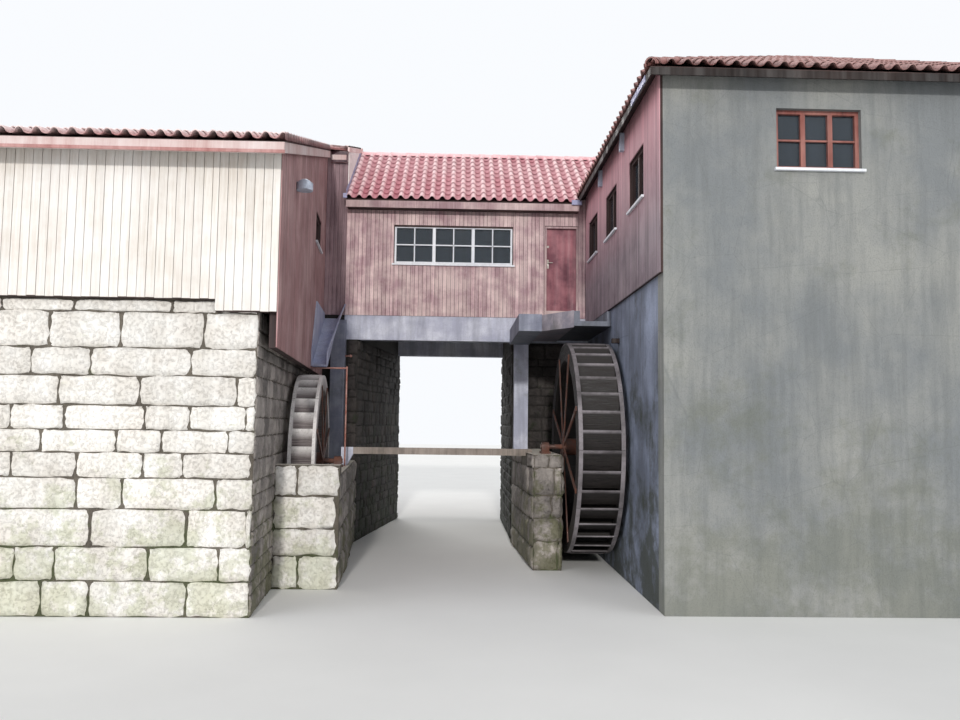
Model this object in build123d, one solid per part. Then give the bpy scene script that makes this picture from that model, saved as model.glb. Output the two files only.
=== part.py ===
from build123d import *
import os
from math import cos, pi, radians, sin, tan

os.makedirs("parts", exist_ok=True)

# A watermill of three blocks round a stream that runs towards -Y.
# Lengths are millimetres on a site grid: Y = 0 is the outer face of the bridge block's
# front wall, X = 0 is the middle of the view, and Z = 0 is the bed of the wheel pits,
# where every wall and pier stands.

# Levels and thicknesses shared by all blocks
floor_underside = 5410
floor_thickness = 140
stone_wall = 350
board_wall = 120
tile_bed = 120
seat_gap = 0.3

# Bridge block over the stream
bridge_right = 3125
bridge_left = -2730
bridge_depth = 5000
beam_depth = 590
beam_width = 300
bridge_pitch = 35
bridge_overhang = 300
# Headroom is the rise from the top of a window to the tiles at the eave
bridge_headroom = 641
bridge_fascia_height = 168
fascia_thickness = 28
window_width = 2905
window_height = 952
window_left = -1580
window_sill = 6692
bridge_eave_top = window_sill + window_height + bridge_headroom
window_frame_width = 60
window_frame_depth = 60
window_recess = 35
mullion_width = 75
casements = 3
glass_thickness = 8
sill_thickness = 40
sill_reach = 60
sill_ear = 40

# Door in the bridge block, hung on its right edge and opening inwards
door_left = 2140
door_width = 755
door_height = 2050
door_sill = 5595
door_leaf_thickness = 45
door_gap = 5
door_frame_width = 34
door_stop = 12
hinge_pin_radius = 6
hinge_wall = 6
hinge_height = 60
hinge_reach = 70
hinge_plate = 4
hinge_heights = (250, 1000, 1750)
hinge_play = 1
handle_inset = 50
handle_height = 1160
handle_reach = 50
handle_radius = 10
lever_length = 126
lever_raise = 30
handle_plate_width = 44
handle_plate_height = 220
handle_plate_thickness = 8
lock_height = 1590
lock_radius = 28
lock_thickness = 10

# Doorways between the three blocks
inner_door_start = 2000
inner_door_width = 900
inner_door_height = 2020

# Right wing
wing_width = 7100
wing_front = -7400
wing_pitch = 26
wing_side_overhang = 220
wing_end_overhang = 300
wing_headroom = 607
wing_boards_bottom = 5215
wing_skin = 40
wing_lining = 110
wing_fascia_height = 120
wing_window_width = 1352
wing_window_height = 966
wing_window_sill = 6892
wing_eave_top = wing_window_sill + wing_window_height + wing_headroom
wing_window_left = 1838
wing_window_recess = 90
side_window_width = 1180
side_window_height = 910
side_sill_drop = 162
side_window_sill = wing_window_sill - side_sill_drop
side_window_starts = (-6300, -3920, -1690)
back_window_left = 2900
end_window_starts = (-5200, 900)

# Left wing, whose right side is splayed
left_corner_x = -2660
left_front = -7800
left_width = 4960
side_splay = 4.35
left_pitch = 17.5
left_eave_top = 6955
left_tile_bed = 90
left_eave_overhang = 400
left_verge = 100
verge_inset = 10
left_far_overhang = 250
left_ridge_y = 2500
left_boards_bottom = 4617
left_step_width = 905
left_step_drop = 178
left_side_boards_bottom = 3920
left_base_setback = 280
left_base_thickness = 400
left_fascia_height = 165
return_fascia_height = 275
slit_start = 5366
slit_width = 1230
slit_height = 665
slit_sill = 6692

# Masonry round the stream
passage_left_front = -2390
passage_left_back = -1720
passage_right = 1370
abutment_left = -3590
right_abutment_front = 400
post_width = 330
left_post_x = -3005
left_post_depth = 250
footing_margin = 50
right_post_x = 1387
right_post_width = 338
left_pier_offset = 410
left_pier_width = 436
left_pier_front = -5600
left_pier_top = 1930
pit_wall_top = 2092
pit_wall_thickness = 400
right_pier_front = -3600
right_pier_left = 1540
right_pier_right = 2095
right_pier_top = 2240

# Concrete over the right wheel
cantilever_left = 1266
cantilever_width = 476
cantilever_bottom = 4757
cantilever_depth = 353
cantilever_reach = 3000
landing_bottom = 4840
landing_depth = 350
landing_width = 650
landing_near_reach = 2160
landing_far_reach = 3100
launder_bottom = 4870
launder_depth = 310
launder_reach = 3100
launder_wall = 90
launder_floor = 100
race_width = 560

# Beam across the stream
stream_beam_y = -2300
stream_beam_height = 140
stream_beam_width = 120
stream_beam_bottom = 2170
stream_beam_right = 1620
stream_pad_length = 250
stream_pad_inset = 180

# Wheels
shaft_radius = 50
bearing_clearance = 0.3
bearing_length = 150
bearing_cap = 95
bearing_foot = 220
bearing_base = 45
bearing_lip = 20
wall_plate = 40
wall_plate_radius = 170
wall_hole_clearance = 25
right_wheel_x = 2645
right_wheel_y = -2900
right_axle_height = 2385
right_wheel_radius = 2125
right_wheel_width = 850
right_shroud_depth = 360
right_shroud_thickness = 75
right_bucket_count = 36
right_bearing_offset = 810
left_wheel_x = -2927
left_wheel_y = -3100
left_axle_height = 2050
left_wheel_radius = 1720
left_wheel_width = 490
left_shroud_depth = 300
left_shroud_thickness = 60
left_bucket_count = 32
left_bearing_offset = 555
sole_thickness = 30
bucket_board = 26
bucket_lip = 12
knee_share = 0.42
arm_count = 8
arm_width = 90
arm_thickness = 22
arm_share = 0.6
hub_radius = 170
hub_overhang = 30

# Left flume and its iron rods
flume_rear_bottom = 5294
flume_front_bottom = 3980
flume_front_y = -2800
flume_rear_top_width = 528
flume_front_top_width = 350
flume_rear_bottom_width = 345
flume_front_bottom_width = 350
flume_rear_height = 390
flume_front_height = 310
flume_guard_top = 5445
flume_guard_front_y = -2000
flume_board = 28
flume_offset = 20
flume_bearer_width = 60
flume_bearer_height = 60
rod_radius = 18
rod_y = -2700
standing_rod_offset = 759
short_rod_height = 4406
short_rod_reach = 130

# Lamps
lamp_size = 100
lamp_height = 350
lamp_bottom = 8030
lamp_starts = (-4700, -2340)
flood_along = 1800
flood_bottom = 6770
flood_skirt = 130
flood_radius = 140
flood_reach = 150
flood_arm_radius = 20

# Values worked out from the sizes above
floor_top = floor_underside + floor_thickness
beam_bottom = floor_underside - beam_depth
wing_left = bridge_right
wing_right = wing_left + wing_width
base_face = wing_left + wing_skin
left_far = left_corner_x - left_width
left_back = bridge_depth
splay_slope = tan(radians(side_splay))
wing_slope = tan(radians(wing_pitch))
bridge_slope = tan(radians(bridge_pitch))
left_slope = tan(radians(left_pitch))
wing_wall_top = wing_eave_top - tile_bed + wing_side_overhang * wing_slope
wing_end_wall_top = wing_eave_top - tile_bed + wing_end_overhang * wing_slope
bridge_wall_top = bridge_eave_top - tile_bed + bridge_overhang * bridge_slope
left_eave_y = left_front - left_eave_overhang
race_right = base_face - launder_wall
race_left = race_right - race_width
race_bottom = launder_bottom + launder_floor
race_top = launder_bottom + launder_depth
far_above = 20000

low_x = left_far - left_far_overhang
high_x = wing_right + wing_side_overhang
low_y = left_eave_y
high_y = bridge_depth + wing_end_overhang
site_to_part = Pos(-(low_x + high_x) / 2, -(low_y + high_y) / 2, 0)


def splay_x(offset, y):
    """X of a line parallel to the splayed wall, offset outwards from its face."""
    return left_corner_x + offset / cos(radians(side_splay)) - (y - left_front) * splay_slope


splay_place = Pos(left_corner_x, left_front, 0) * Rot(0, 0, side_splay)


def block(x_low, x_high, y_low, y_high, z_low, z_high):
    """An upright box between two corners."""
    centre = Pos((x_low + x_high) / 2, (y_low + y_high) / 2, (z_low + z_high) / 2)
    return centre * Box(x_high - x_low, y_high - y_low, z_high - z_low)


def plan_prism(points, z_low, z_high):
    """A plan outline raised from one level to another."""
    outline = Polyline(*[(x, y, z_low) for x, y in points], close=True)
    return extrude(make_face(outline), amount=z_high - z_low, dir=(0, 0, 1))


def side_prism(points, x_low, x_high):
    """An outline of (y, z) points carried along X."""
    outline = Polyline(*[(x_low, y, z) for y, z in points], close=True)
    return extrude(make_face(outline), amount=x_high - x_low, dir=(1, 0, 0))


def front_prism(points, y_low, y_high):
    """An outline of (x, z) points carried along Y."""
    outline = Polyline(*[(x, y_low, z) for x, z in points], close=True)
    return extrude(make_face(outline), amount=y_high - y_low, dir=(0, 1, 0))


def rod_x(radius, x_low, x_high, y, z):
    """A round bar along X."""
    return Pos((x_low + x_high) / 2, y, z) * Rot(0, 90, 0) * Cylinder(radius, x_high - x_low)


nodes = {}


def keep(name, *shapes):
    """Stores the solids of a node, placed in the part's own frame."""
    solids = []
    for shape in shapes:
        solids.extend((site_to_part * shape).solids())
    nodes[name] = solids


def window_in_front_wall(x_left, sill, width, height, y_face, mullions, inward=1):
    """A fixed frame and its glass in a wall that faces -Y, or +Y when inward is -1."""
    rim = window_frame_width
    y_in = y_face + inward * window_frame_depth
    y_low = min(y_face, y_in)
    y_high = max(y_face, y_in)
    frame = block(x_left, x_left + width, y_low, y_high, sill, sill + height)
    bay = (width - 2 * rim - (mullions - 1) * mullion_width) / mullions
    for number in range(mullions):
        start = x_left + rim + number * (bay + mullion_width)
        frame -= block(start, start + bay, y_low, y_high, sill + rim, sill + height - rim)
    pane_low = min(y_in, y_in + inward * glass_thickness)
    glass = block(x_left, x_left + width, pane_low, pane_low + glass_thickness, sill, sill + height)
    return frame, glass


def window_in_side_wall(y_start, sill, width, height, x_face, mullions, inward=1):
    """The same frame in a wall that faces -X, or +X when inward is -1."""
    frame, glass = window_in_front_wall(y_start, sill, width, height, 0, mullions, inward)
    mirrored_frame = mirror(frame, about=Plane.YZ)
    mirrored_glass = mirror(glass, about=Plane.YZ)
    flip = Pos(x_face, 0, 0) * Rot(0, 0, -90)
    return flip * mirrored_frame, flip * mirrored_glass


# Bridge block: beams, floor and walls
front_beam = block(bridge_left, base_face, 0, beam_width, beam_bottom, floor_underside)
race = block(race_left, race_right, -launder_reach, bridge_depth, race_bottom, race_top)
back_beam_front = bridge_depth - beam_width
back_beam = block(bridge_left, base_face, back_beam_front, bridge_depth, beam_bottom, floor_underside)
keep("bridge_beams", front_beam - race, back_beam - race)
bridge_inner_back = bridge_depth - board_wall
keep("bridge_floor", block(bridge_left, bridge_right, board_wall, bridge_inner_back, floor_underside, floor_top))

door_right = door_left + door_width
frame_left = door_left - door_frame_width
frame_right = door_right + door_frame_width
frame_top = door_sill + door_height + door_frame_width
facade_main = block(bridge_left, frame_left, 0, board_wall, floor_underside, bridge_wall_top)
front_hole = block(
    window_left,
    window_left + window_width,
    0,
    board_wall,
    window_sill,
    window_sill + window_height,
)
keep("bridge_front_wall", facade_main - front_hole)
keep("bridge_wall_over_door", block(frame_left, frame_right, 0, board_wall, frame_top, bridge_wall_top))
keep("bridge_wall_beside_door", block(frame_right, bridge_right, 0, board_wall, floor_underside, bridge_wall_top))
back_wall = block(bridge_left, bridge_right, bridge_inner_back, bridge_depth, floor_underside, bridge_wall_top)
back_hole = Pos(0, bridge_inner_back, 0) * front_hole
keep("bridge_back_wall", back_wall - back_hole)

# Right wing roof: four slopes with hips, cut back where the bridge block joins it
wing_roof_left = wing_left - wing_side_overhang
wing_roof_right = wing_right + wing_side_overhang
wing_roof_front = wing_front - wing_end_overhang
wing_roof_back = bridge_depth + wing_end_overhang


def hip_body(drop, base):
    """The space under four equal slopes, lowered by drop, down to a level base."""
    eave = wing_eave_top - drop
    half_width = (wing_roof_right - wing_roof_left) / 2
    ridge = eave + half_width * wing_slope
    middle_x = (wing_roof_left + wing_roof_right) / 2
    across = front_prism(
        [
            (wing_roof_left, base),
            (wing_roof_right, base),
            (wing_roof_right, eave),
            (middle_x, ridge),
            (wing_roof_left, eave),
        ],
        wing_roof_front,
        wing_roof_back,
    )
    along = side_prism(
        [
            (wing_roof_front, base),
            (wing_roof_back, base),
            (wing_roof_back, eave),
            (wing_roof_back - half_width, ridge),
            (wing_roof_front + half_width, ridge),
            (wing_roof_front, eave),
        ],
        wing_roof_left,
        wing_roof_right,
    )
    return across & along


under_wing_roof = hip_body(tile_bed, 0)
bridge_notch = block(wing_roof_left, wing_left, 0, wing_roof_back, 0, far_above)
wing_roof = hip_body(0, wing_eave_top - tile_bed) - hip_body(tile_bed, wing_eave_top - 2 * tile_bed)
keep("right_roof", wing_roof - bridge_notch)

# Bridge roof: two slopes that run into the wing's left slope
ridge_y = bridge_depth / 2
bridge_ridge_top = bridge_eave_top + (ridge_y + bridge_overhang) * bridge_slope
bridge_roof = side_prism(
    [
        (-bridge_overhang, bridge_eave_top - tile_bed),
        (ridge_y, bridge_ridge_top - tile_bed),
        (bridge_depth + bridge_overhang, bridge_eave_top - tile_bed),
        (bridge_depth + bridge_overhang, bridge_eave_top),
        (ridge_y, bridge_ridge_top),
        (-bridge_overhang, bridge_eave_top),
    ],
    bridge_left,
    wing_right,
)
wing_envelope = hip_body(0, 0) - bridge_notch
beyond_wing_ridge = block(
    (wing_roof_left + wing_roof_right) / 2,
    wing_right + 1,
    -bridge_overhang - 1,
    bridge_depth + bridge_overhang + 1,
    0,
    far_above,
)
keep("bridge_roof", bridge_roof - wing_envelope - beyond_wing_ridge)

bridge_fascia_top = bridge_eave_top - tile_bed
front_fascia = block(
    bridge_left,
    wing_roof_left,
    -bridge_overhang,
    -bridge_overhang + fascia_thickness,
    bridge_fascia_top - bridge_fascia_height,
    bridge_fascia_top,
)
back_fascia = block(
    bridge_left,
    wing_left,
    bridge_depth + bridge_overhang - fascia_thickness,
    bridge_depth + bridge_overhang,
    bridge_fascia_top - bridge_fascia_height,
    bridge_fascia_top,
)
keep("bridge_fascia", front_fascia, back_fascia)

front_frame, front_glass = window_in_front_wall(
    window_left, window_sill, window_width, window_height, window_recess, casements
)
back_frame, back_glass = window_in_front_wall(
    window_left, window_sill, window_width, window_height, bridge_depth - window_recess, casements, -1
)
keep("bridge_window_frames", front_frame, back_frame)
glass_panes = [front_glass, back_glass]
sills = []


def sill_below(x_left, width, level, y_outer):
    """A sill with ears that stands out in front of a wall along X."""
    x_low = x_left - sill_ear
    x_high = x_left + width + sill_ear
    return block(x_low, x_high, y_outer, y_outer + sill_reach, level - sill_thickness, level)


sills.append(sill_below(window_left, window_width, window_sill, -sill_reach))
sills.append(sill_below(window_left, window_width, window_sill, bridge_depth))

# Door: frame with stops and threshold, hinges, leaf and handles
frame_outer = block(frame_left, frame_right, 0, board_wall, floor_underside, frame_top)
leaf_front = board_wall - door_leaf_thickness
frame_hole = block(door_left, door_right, 0, board_wall, door_sill, door_sill + door_height)
stop_hole = block(
    door_left + door_stop,
    door_right - door_stop,
    0,
    leaf_front - door_gap,
    door_sill,
    door_sill + door_height - door_stop,
)
leaf_space = block(door_left, door_right, leaf_front - door_gap, board_wall, door_sill, door_sill + door_height)
keep("door_frame", frame_outer - stop_hole - leaf_space)

leaf_bottom = door_sill + door_gap
leaf = block(
    door_left + door_gap,
    door_right - door_gap,
    leaf_front,
    board_wall,
    leaf_bottom,
    door_sill + door_height - door_gap,
)
knuckle_radius = hinge_pin_radius + hinge_wall
pivot_x = door_right
pivot_y = board_wall + knuckle_radius
hinge_parts = []
for height in hinge_heights:
    middle = door_sill + height
    barrel = Pos(pivot_x, pivot_y, middle) * Cylinder(knuckle_radius, hinge_height)
    strap = block(
        pivot_x - hinge_reach,
        pivot_x - knuckle_radius / 2,
        board_wall,
        board_wall + hinge_plate,
        middle - hinge_height / 2,
        middle + hinge_height / 2,
    )
    bore = Pos(pivot_x, pivot_y, middle) * Cylinder(hinge_pin_radius + bearing_clearance, hinge_height)
    leaf += barrel + strap - bore
    leaf -= bore
    pin = Pos(pivot_x, pivot_y, middle) * Cylinder(hinge_pin_radius, 3 * hinge_height)
    flag = pin
    for side in (-1, 1):
        centre = middle + side * (hinge_height + hinge_play)
        flag += Pos(pivot_x, pivot_y, centre) * Cylinder(knuckle_radius, hinge_height)
        flag += block(
            pivot_x + knuckle_radius / 2,
            pivot_x + hinge_reach,
            board_wall,
            board_wall + hinge_plate,
            centre - hinge_height / 2,
            centre + hinge_height / 2,
        )
    hinge_parts.append(flag)
keep("door_leaf", leaf)
keep("door_hinges", *hinge_parts)

handle_x = door_left + handle_inset
handle_level = door_sill + handle_height
lever_level = handle_level + lever_raise
handle_parts = []
for face, outward in ((leaf_front, -1), (board_wall, 1)):
    plate_low = min(face, face + outward * handle_plate_thickness)
    plate = block(
        handle_x - handle_plate_width / 2,
        handle_x + handle_plate_width / 2,
        plate_low,
        plate_low + handle_plate_thickness,
        handle_level - handle_plate_height / 2,
        handle_level + handle_plate_height / 2,
    )
    lever_y = face + outward * handle_reach
    neck_centre = Pos(handle_x, (face + lever_y) / 2, lever_level)
    plate += neck_centre * Rot(90, 0, 0) * Cylinder(handle_radius, handle_reach)
    lever_start = handle_x - handle_radius
    plate += rod_x(handle_radius, lever_start, lever_start + lever_length, lever_y, lever_level)
    handle_parts.append(plate)
lock_centre = Pos(handle_x, leaf_front - lock_thickness / 2, door_sill + lock_height)
lock_disc = lock_centre * Rot(90, 0, 0) * Cylinder(lock_radius, lock_thickness)
keep("door_handle", *handle_parts, lock_disc)

# Right wing walls and floor
wing_inner_front = wing_front + stone_wall
wing_inner_back = bridge_depth - stone_wall
wing_inner_right = wing_right - stone_wall
wing_inner_left = base_face + wing_lining


def wing_hole(x_left, y_face, thickness):
    """A window opening through a wall that lies along X."""
    return block(
        x_left,
        x_left + wing_window_width,
        y_face,
        y_face + thickness,
        wing_window_sill,
        wing_window_sill + wing_window_height,
    )


front_window_x = wing_left + wing_window_left
back_window_x = wing_left + back_window_left
front_wall = block(base_face, wing_right, wing_front, wing_inner_front, 0, wing_end_wall_top)
front_wall &= under_wing_roof
keep("right_front_wall", front_wall - wing_hole(front_window_x, wing_front, stone_wall))
wing_back_wall = block(base_face, wing_right, wing_inner_back, bridge_depth, 0, wing_end_wall_top)
side_strip = block(base_face, wing_inner_left, wing_inner_back, bridge_depth, wing_boards_bottom, wing_end_wall_top)
wing_back_wall -= side_strip
wing_back_wall &= under_wing_roof
keep("right_back_wall", wing_back_wall - wing_hole(back_window_x, wing_inner_back, stone_wall))
end_wall = block(wing_inner_right, wing_right, wing_inner_front, wing_inner_back, 0, wing_wall_top)
for start in end_window_starts:
    end_wall -= block(
        wing_inner_right,
        wing_right,
        start,
        start + wing_window_width,
        wing_window_sill,
        wing_window_sill + wing_window_height,
    )
keep("right_end_wall", end_wall)
side_profile = [
    (base_face, 0),
    (base_face + stone_wall, 0),
    (base_face + stone_wall, floor_underside),
    (wing_inner_left, floor_underside),
    (wing_inner_left, wing_boards_bottom),
    (base_face, wing_boards_bottom),
]
side_base = front_prism(side_profile, wing_inner_front, wing_inner_back)
shaft_hole = rod_x(
    shaft_radius + wall_hole_clearance,
    base_face,
    base_face + stone_wall,
    right_wheel_y,
    right_axle_height,
)
keep("right_side_base_wall", side_base - shaft_hole)
side_boards = block(wing_left, wing_inner_left, wing_inner_front, 0, wing_boards_bottom, wing_wall_top)
side_boards += block(wing_left, base_face, wing_front, wing_inner_front, wing_boards_bottom, wing_wall_top)
for start in side_window_starts:
    side_boards -= block(
        wing_left,
        wing_inner_left,
        start,
        start + side_window_width,
        side_window_sill,
        side_window_sill + side_window_height,
    )
keep("right_side_board_wall", side_boards)
inner_doorway = block(
    wing_left,
    wing_inner_left,
    inner_door_start,
    inner_door_start + inner_door_width,
    floor_top,
    floor_top + inner_door_height,
)
party_wall = block(base_face, wing_inner_left, 0, bridge_depth, wing_boards_bottom, wing_wall_top)
party_wall += block(wing_left, base_face, 0, bridge_depth, floor_underside, wing_wall_top)
keep("right_party_wall", party_wall - inner_doorway)
keep(
    "right_floor",
    block(wing_inner_left, wing_inner_right, wing_inner_front, wing_inner_back, floor_underside, floor_top),
)

fascia_top = wing_eave_top - tile_bed
fascia_low = fascia_top - wing_fascia_height
fascia_outer = block(wing_roof_left, wing_roof_right, wing_roof_front, wing_roof_back, fascia_low, fascia_top)
fascia_inner = block(
    wing_roof_left + fascia_thickness,
    wing_roof_right - fascia_thickness,
    wing_roof_front + fascia_thickness,
    wing_roof_back - fascia_thickness,
    fascia_low,
    fascia_top,
)
keep("right_fascia", fascia_outer - fascia_inner - bridge_notch)

wing_frames = []
for x_left, y_face, inward in (
    (front_window_x, wing_front + wing_window_recess, 1),
    (back_window_x, bridge_depth - wing_window_recess, -1),
):
    frame, glass = window_in_front_wall(
        x_left, wing_window_sill, wing_window_width, wing_window_height, y_face, 3, inward
    )
    wing_frames.append(frame)
    glass_panes.append(glass)
for start in end_window_starts:
    frame, glass = window_in_side_wall(
        start, wing_window_sill, wing_window_width, wing_window_height, wing_right - wing_window_recess, 3, -1
    )
    wing_frames.append(frame)
    glass_panes.append(glass)
for start in side_window_starts:
    frame, glass = window_in_side_wall(
        start, side_window_sill, side_window_width, side_window_height, wing_left + window_recess, 2
    )
    wing_frames.append(frame)
    glass_panes.append(glass)
    sills.append(
        block(
            wing_left - sill_reach,
            wing_left,
            start - sill_ear,
            start + side_window_width + sill_ear,
            side_window_sill - sill_thickness,
            side_window_sill,
        )
    )
sills.append(sill_below(front_window_x, wing_window_width, wing_window_sill, wing_front - sill_reach))

# Left wing: stone base, board walls, floor and roof
left_inner_front = left_front + board_wall
base_front_back = left_inner_front + left_base_thickness
base_left = left_far + board_wall
base_back = left_back - board_wall
front_base = plan_prism(
    [
        (base_left, left_inner_front),
        (splay_x(-left_base_setback, left_inner_front), left_inner_front),
        (splay_x(-left_base_setback, base_front_back), base_front_back),
        (base_left, base_front_back),
    ],
    0,
    floor_underside,
)
keep("left_front_base_wall", front_base)
side_base_plan = [
    (splay_x(-left_base_setback, base_front_back), base_front_back),
    (splay_x(-left_base_setback, 0), 0),
    (splay_x(-left_base_setback - left_base_thickness, 0), 0),
    (splay_x(-left_base_setback - left_base_thickness, base_front_back), base_front_back),
]
left_side_base = plan_prism(side_base_plan, 0, floor_underside)
wheel_along = Vector(left_wheel_x - left_corner_x, left_wheel_y - left_front, 0).rotate(Axis.Z, -side_splay)
left_axle_place = splay_place * Pos(wheel_along.X, wheel_along.Y, left_axle_height)
left_wall_face = -left_base_setback - wheel_along.X
left_axle_hole = left_axle_place * rod_x(
    shaft_radius + wall_hole_clearance,
    left_wall_face - 2 * left_base_thickness,
    left_wall_face + left_base_thickness,
    0,
    0,
)
keep("left_side_base_wall", left_side_base - left_axle_hole)
rear_base = block(base_left, base_left + left_base_thickness, base_front_back, base_back, 0, floor_underside)
rear_base += block(base_left, abutment_left, base_back - left_base_thickness, base_back, 0, floor_underside)
keep("left_rear_base_walls", rear_base)


def left_roof_top(y):
    """Height of the left roof's upper face at a depth y."""
    rise = min(y, 2 * left_ridge_y - y) - left_eave_y
    return left_eave_top + rise * left_slope


def left_underside(y):
    """Height of the left roof's underside at a depth y."""
    return left_roof_top(y) - left_tile_bed


front_boards = plan_prism(
    [
        (left_far, left_front),
        (left_corner_x, left_front),
        (splay_x(0, left_inner_front), left_inner_front),
        (left_far, left_inner_front),
    ],
    left_boards_bottom,
    left_underside(left_front),
)
front_step = plan_prism(
    [
        (left_corner_x - left_step_width, left_front),
        (left_corner_x, left_front),
        (splay_x(0, left_inner_front), left_inner_front),
        (left_corner_x - left_step_width, left_inner_front),
    ],
    left_boards_bottom - left_step_drop,
    left_boards_bottom,
)
keep("left_front_board_wall", front_boards + front_step)

back_eave_y = left_back + bridge_overhang
left_roof_space = side_prism(
    [
        (left_eave_y, 0),
        (back_eave_y, 0),
        (back_eave_y, left_underside(back_eave_y)),
        (left_ridge_y, left_underside(left_ridge_y)),
        (left_eave_y, left_underside(left_eave_y)),
    ],
    low_x,
    0,
)
side_length = -left_front / cos(radians(side_splay))
side_wall = splay_place * block(-board_wall, 0, 0, side_length + board_wall, left_side_boards_bottom, far_above)
side_wall &= block(left_far, 0, left_inner_front, 0, 0, far_above)
side_wall &= left_roof_space
slit_hole = splay_place * block(
    -board_wall, 0, slit_start, slit_start + slit_width, slit_sill, slit_sill + slit_height
)
keep("left_side_board_wall", side_wall - slit_hole)

outer_outline = [
    (left_inner_front, left_boards_bottom),
    (left_back, left_boards_bottom),
    (left_back, left_underside(left_back)),
    (left_ridge_y, left_underside(left_ridge_y)),
    (left_inner_front, left_underside(left_inner_front)),
]
outer_boards = side_prism(outer_outline, left_far, left_far + board_wall)
far_slit = block(
    left_far,
    left_far + board_wall,
    left_front + slit_start,
    left_front + slit_start + slit_width,
    slit_sill,
    slit_sill + slit_height,
)
outer_boards -= far_slit
left_back_boards = block(
    left_far + board_wall,
    bridge_left,
    left_back - board_wall,
    left_back,
    left_boards_bottom,
    left_underside(left_back),
)
left_back_boards -= block(
    abutment_left, bridge_left, left_back - board_wall, left_back, left_boards_bottom, floor_underside
)
keep("left_rear_board_walls", outer_boards + left_back_boards)

return_wall = side_prism(
    [
        (0, floor_underside),
        (board_wall, floor_underside),
        (board_wall, left_underside(board_wall)),
        (0, left_underside(0)),
    ],
    splay_x(-board_wall, 0),
    bridge_left,
)
inner_outline = [
    (board_wall, floor_underside),
    (left_back - board_wall, floor_underside),
    (left_back - board_wall, left_underside(left_back - board_wall)),
    (left_ridge_y, left_underside(left_ridge_y)),
    (board_wall, left_underside(board_wall)),
]
inner_wall = side_prism(inner_outline, bridge_left - board_wall, bridge_left)
left_doorway = block(
    bridge_left - board_wall,
    bridge_left,
    inner_door_start,
    inner_door_start + inner_door_width,
    floor_top,
    floor_top + inner_door_height,
)
keep("left_return_wall", return_wall + (inner_wall - left_doorway))

left_floor_plan = [
    (left_far + board_wall, left_inner_front),
    (splay_x(-board_wall, left_inner_front), left_inner_front),
    (splay_x(-board_wall, 0), 0),
    (splay_x(-board_wall, 0), board_wall),
    (bridge_left - board_wall, board_wall),
    (bridge_left - board_wall, left_back - board_wall),
    (left_far + board_wall, left_back - board_wall),
]
keep("left_floor", plan_prism(left_floor_plan, floor_underside, floor_top))

left_roof_plan = [
    (low_x, left_eave_y),
    (splay_x(left_verge, left_eave_y), left_eave_y),
    (splay_x(left_verge, -left_verge), -left_verge),
    (bridge_left, -left_verge),
    (bridge_left, left_back + bridge_overhang),
    (low_x, left_back + bridge_overhang),
]
left_roof_section = [
    (left_eave_y, left_underside(left_eave_y)),
    (left_ridge_y, left_underside(left_ridge_y)),
    (back_eave_y, left_underside(back_eave_y)),
    (back_eave_y, left_roof_top(back_eave_y)),
    (left_ridge_y, left_roof_top(left_ridge_y)),
    (left_eave_y, left_roof_top(left_eave_y)),
]
left_roof = side_prism(left_roof_section, low_x, 0) & plan_prism(left_roof_plan, 0, far_above)
keep("left_roof", left_roof)

left_fascia_top = left_underside(left_eave_y)
front_board = block(
    low_x,
    splay_x(left_verge, left_eave_y) - verge_inset,
    left_eave_y,
    left_eave_y + fascia_thickness,
    left_fascia_top - left_fascia_height,
    left_fascia_top,
)
back_board = block(
    low_x,
    bridge_left,
    back_eave_y - fascia_thickness,
    back_eave_y,
    left_underside(back_eave_y) - left_fascia_height,
    left_underside(back_eave_y),
)
return_board = block(
    splay_x(left_verge, -left_verge) + verge_inset,
    bridge_left,
    -left_verge,
    -left_verge + fascia_thickness,
    left_underside(-left_verge) - return_fascia_height,
    left_underside(-left_verge),
)
verge_band = Pos(0, 0, -left_fascia_height) * left_roof_space
verge_strip = splay_place * block(
    left_verge - verge_inset - fascia_thickness,
    left_verge - verge_inset,
    -2 * left_eave_overhang,
    side_length,
    0,
    far_above,
)
verge_strip &= block(low_x, 0, left_eave_y + 2 * fascia_thickness, -left_verge - fascia_thickness, 0, far_above)
verge_board = (verge_strip & left_roof_space) - verge_band
keep("left_fascia", front_board, back_board, return_board, verge_board)

slit_frame, slit_glass = window_in_side_wall(slit_start, slit_sill, slit_width, slit_height, 0, 1, -1)
slit_place = splay_place * Pos(-window_recess, 0, 0)
wing_frames.append(slit_place * slit_frame)
glass_panes.append(slit_place * slit_glass)
far_frame, far_glass = window_in_side_wall(
    left_front + slit_start, slit_sill, slit_width, slit_height, left_far + window_recess, 1
)
wing_frames.append(far_frame)
glass_panes.append(far_glass)
sills.append(
    splay_place
    * block(
        0,
        sill_reach,
        slit_start - sill_ear,
        slit_start + slit_width + sill_ear,
        slit_sill - sill_thickness,
        slit_sill,
    )
)
keep("wing_window_frames", *wing_frames)
keep("window_glass", *glass_panes)
keep("window_sills", *sills)

# Masonry and posts round the stream
left_abutment = plan_prism(
    [
        (abutment_left, 0),
        (passage_left_front, 0),
        (passage_left_back, bridge_depth),
        (abutment_left, bridge_depth),
    ],
    0,
    floor_underside,
)
left_abutment -= front_beam
left_abutment -= back_beam
keep("left_abutment", left_abutment)
right_abutment = block(passage_right, base_face, right_abutment_front, bridge_depth, 0, floor_underside)
right_abutment -= back_beam
keep("right_abutment", right_abutment - race)

flume_slope = (flume_rear_bottom - flume_front_bottom) / -flume_front_y


def flume_bottom(y):
    """Height of the flume's underside at a depth y."""
    return flume_rear_bottom + y * flume_slope


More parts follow.
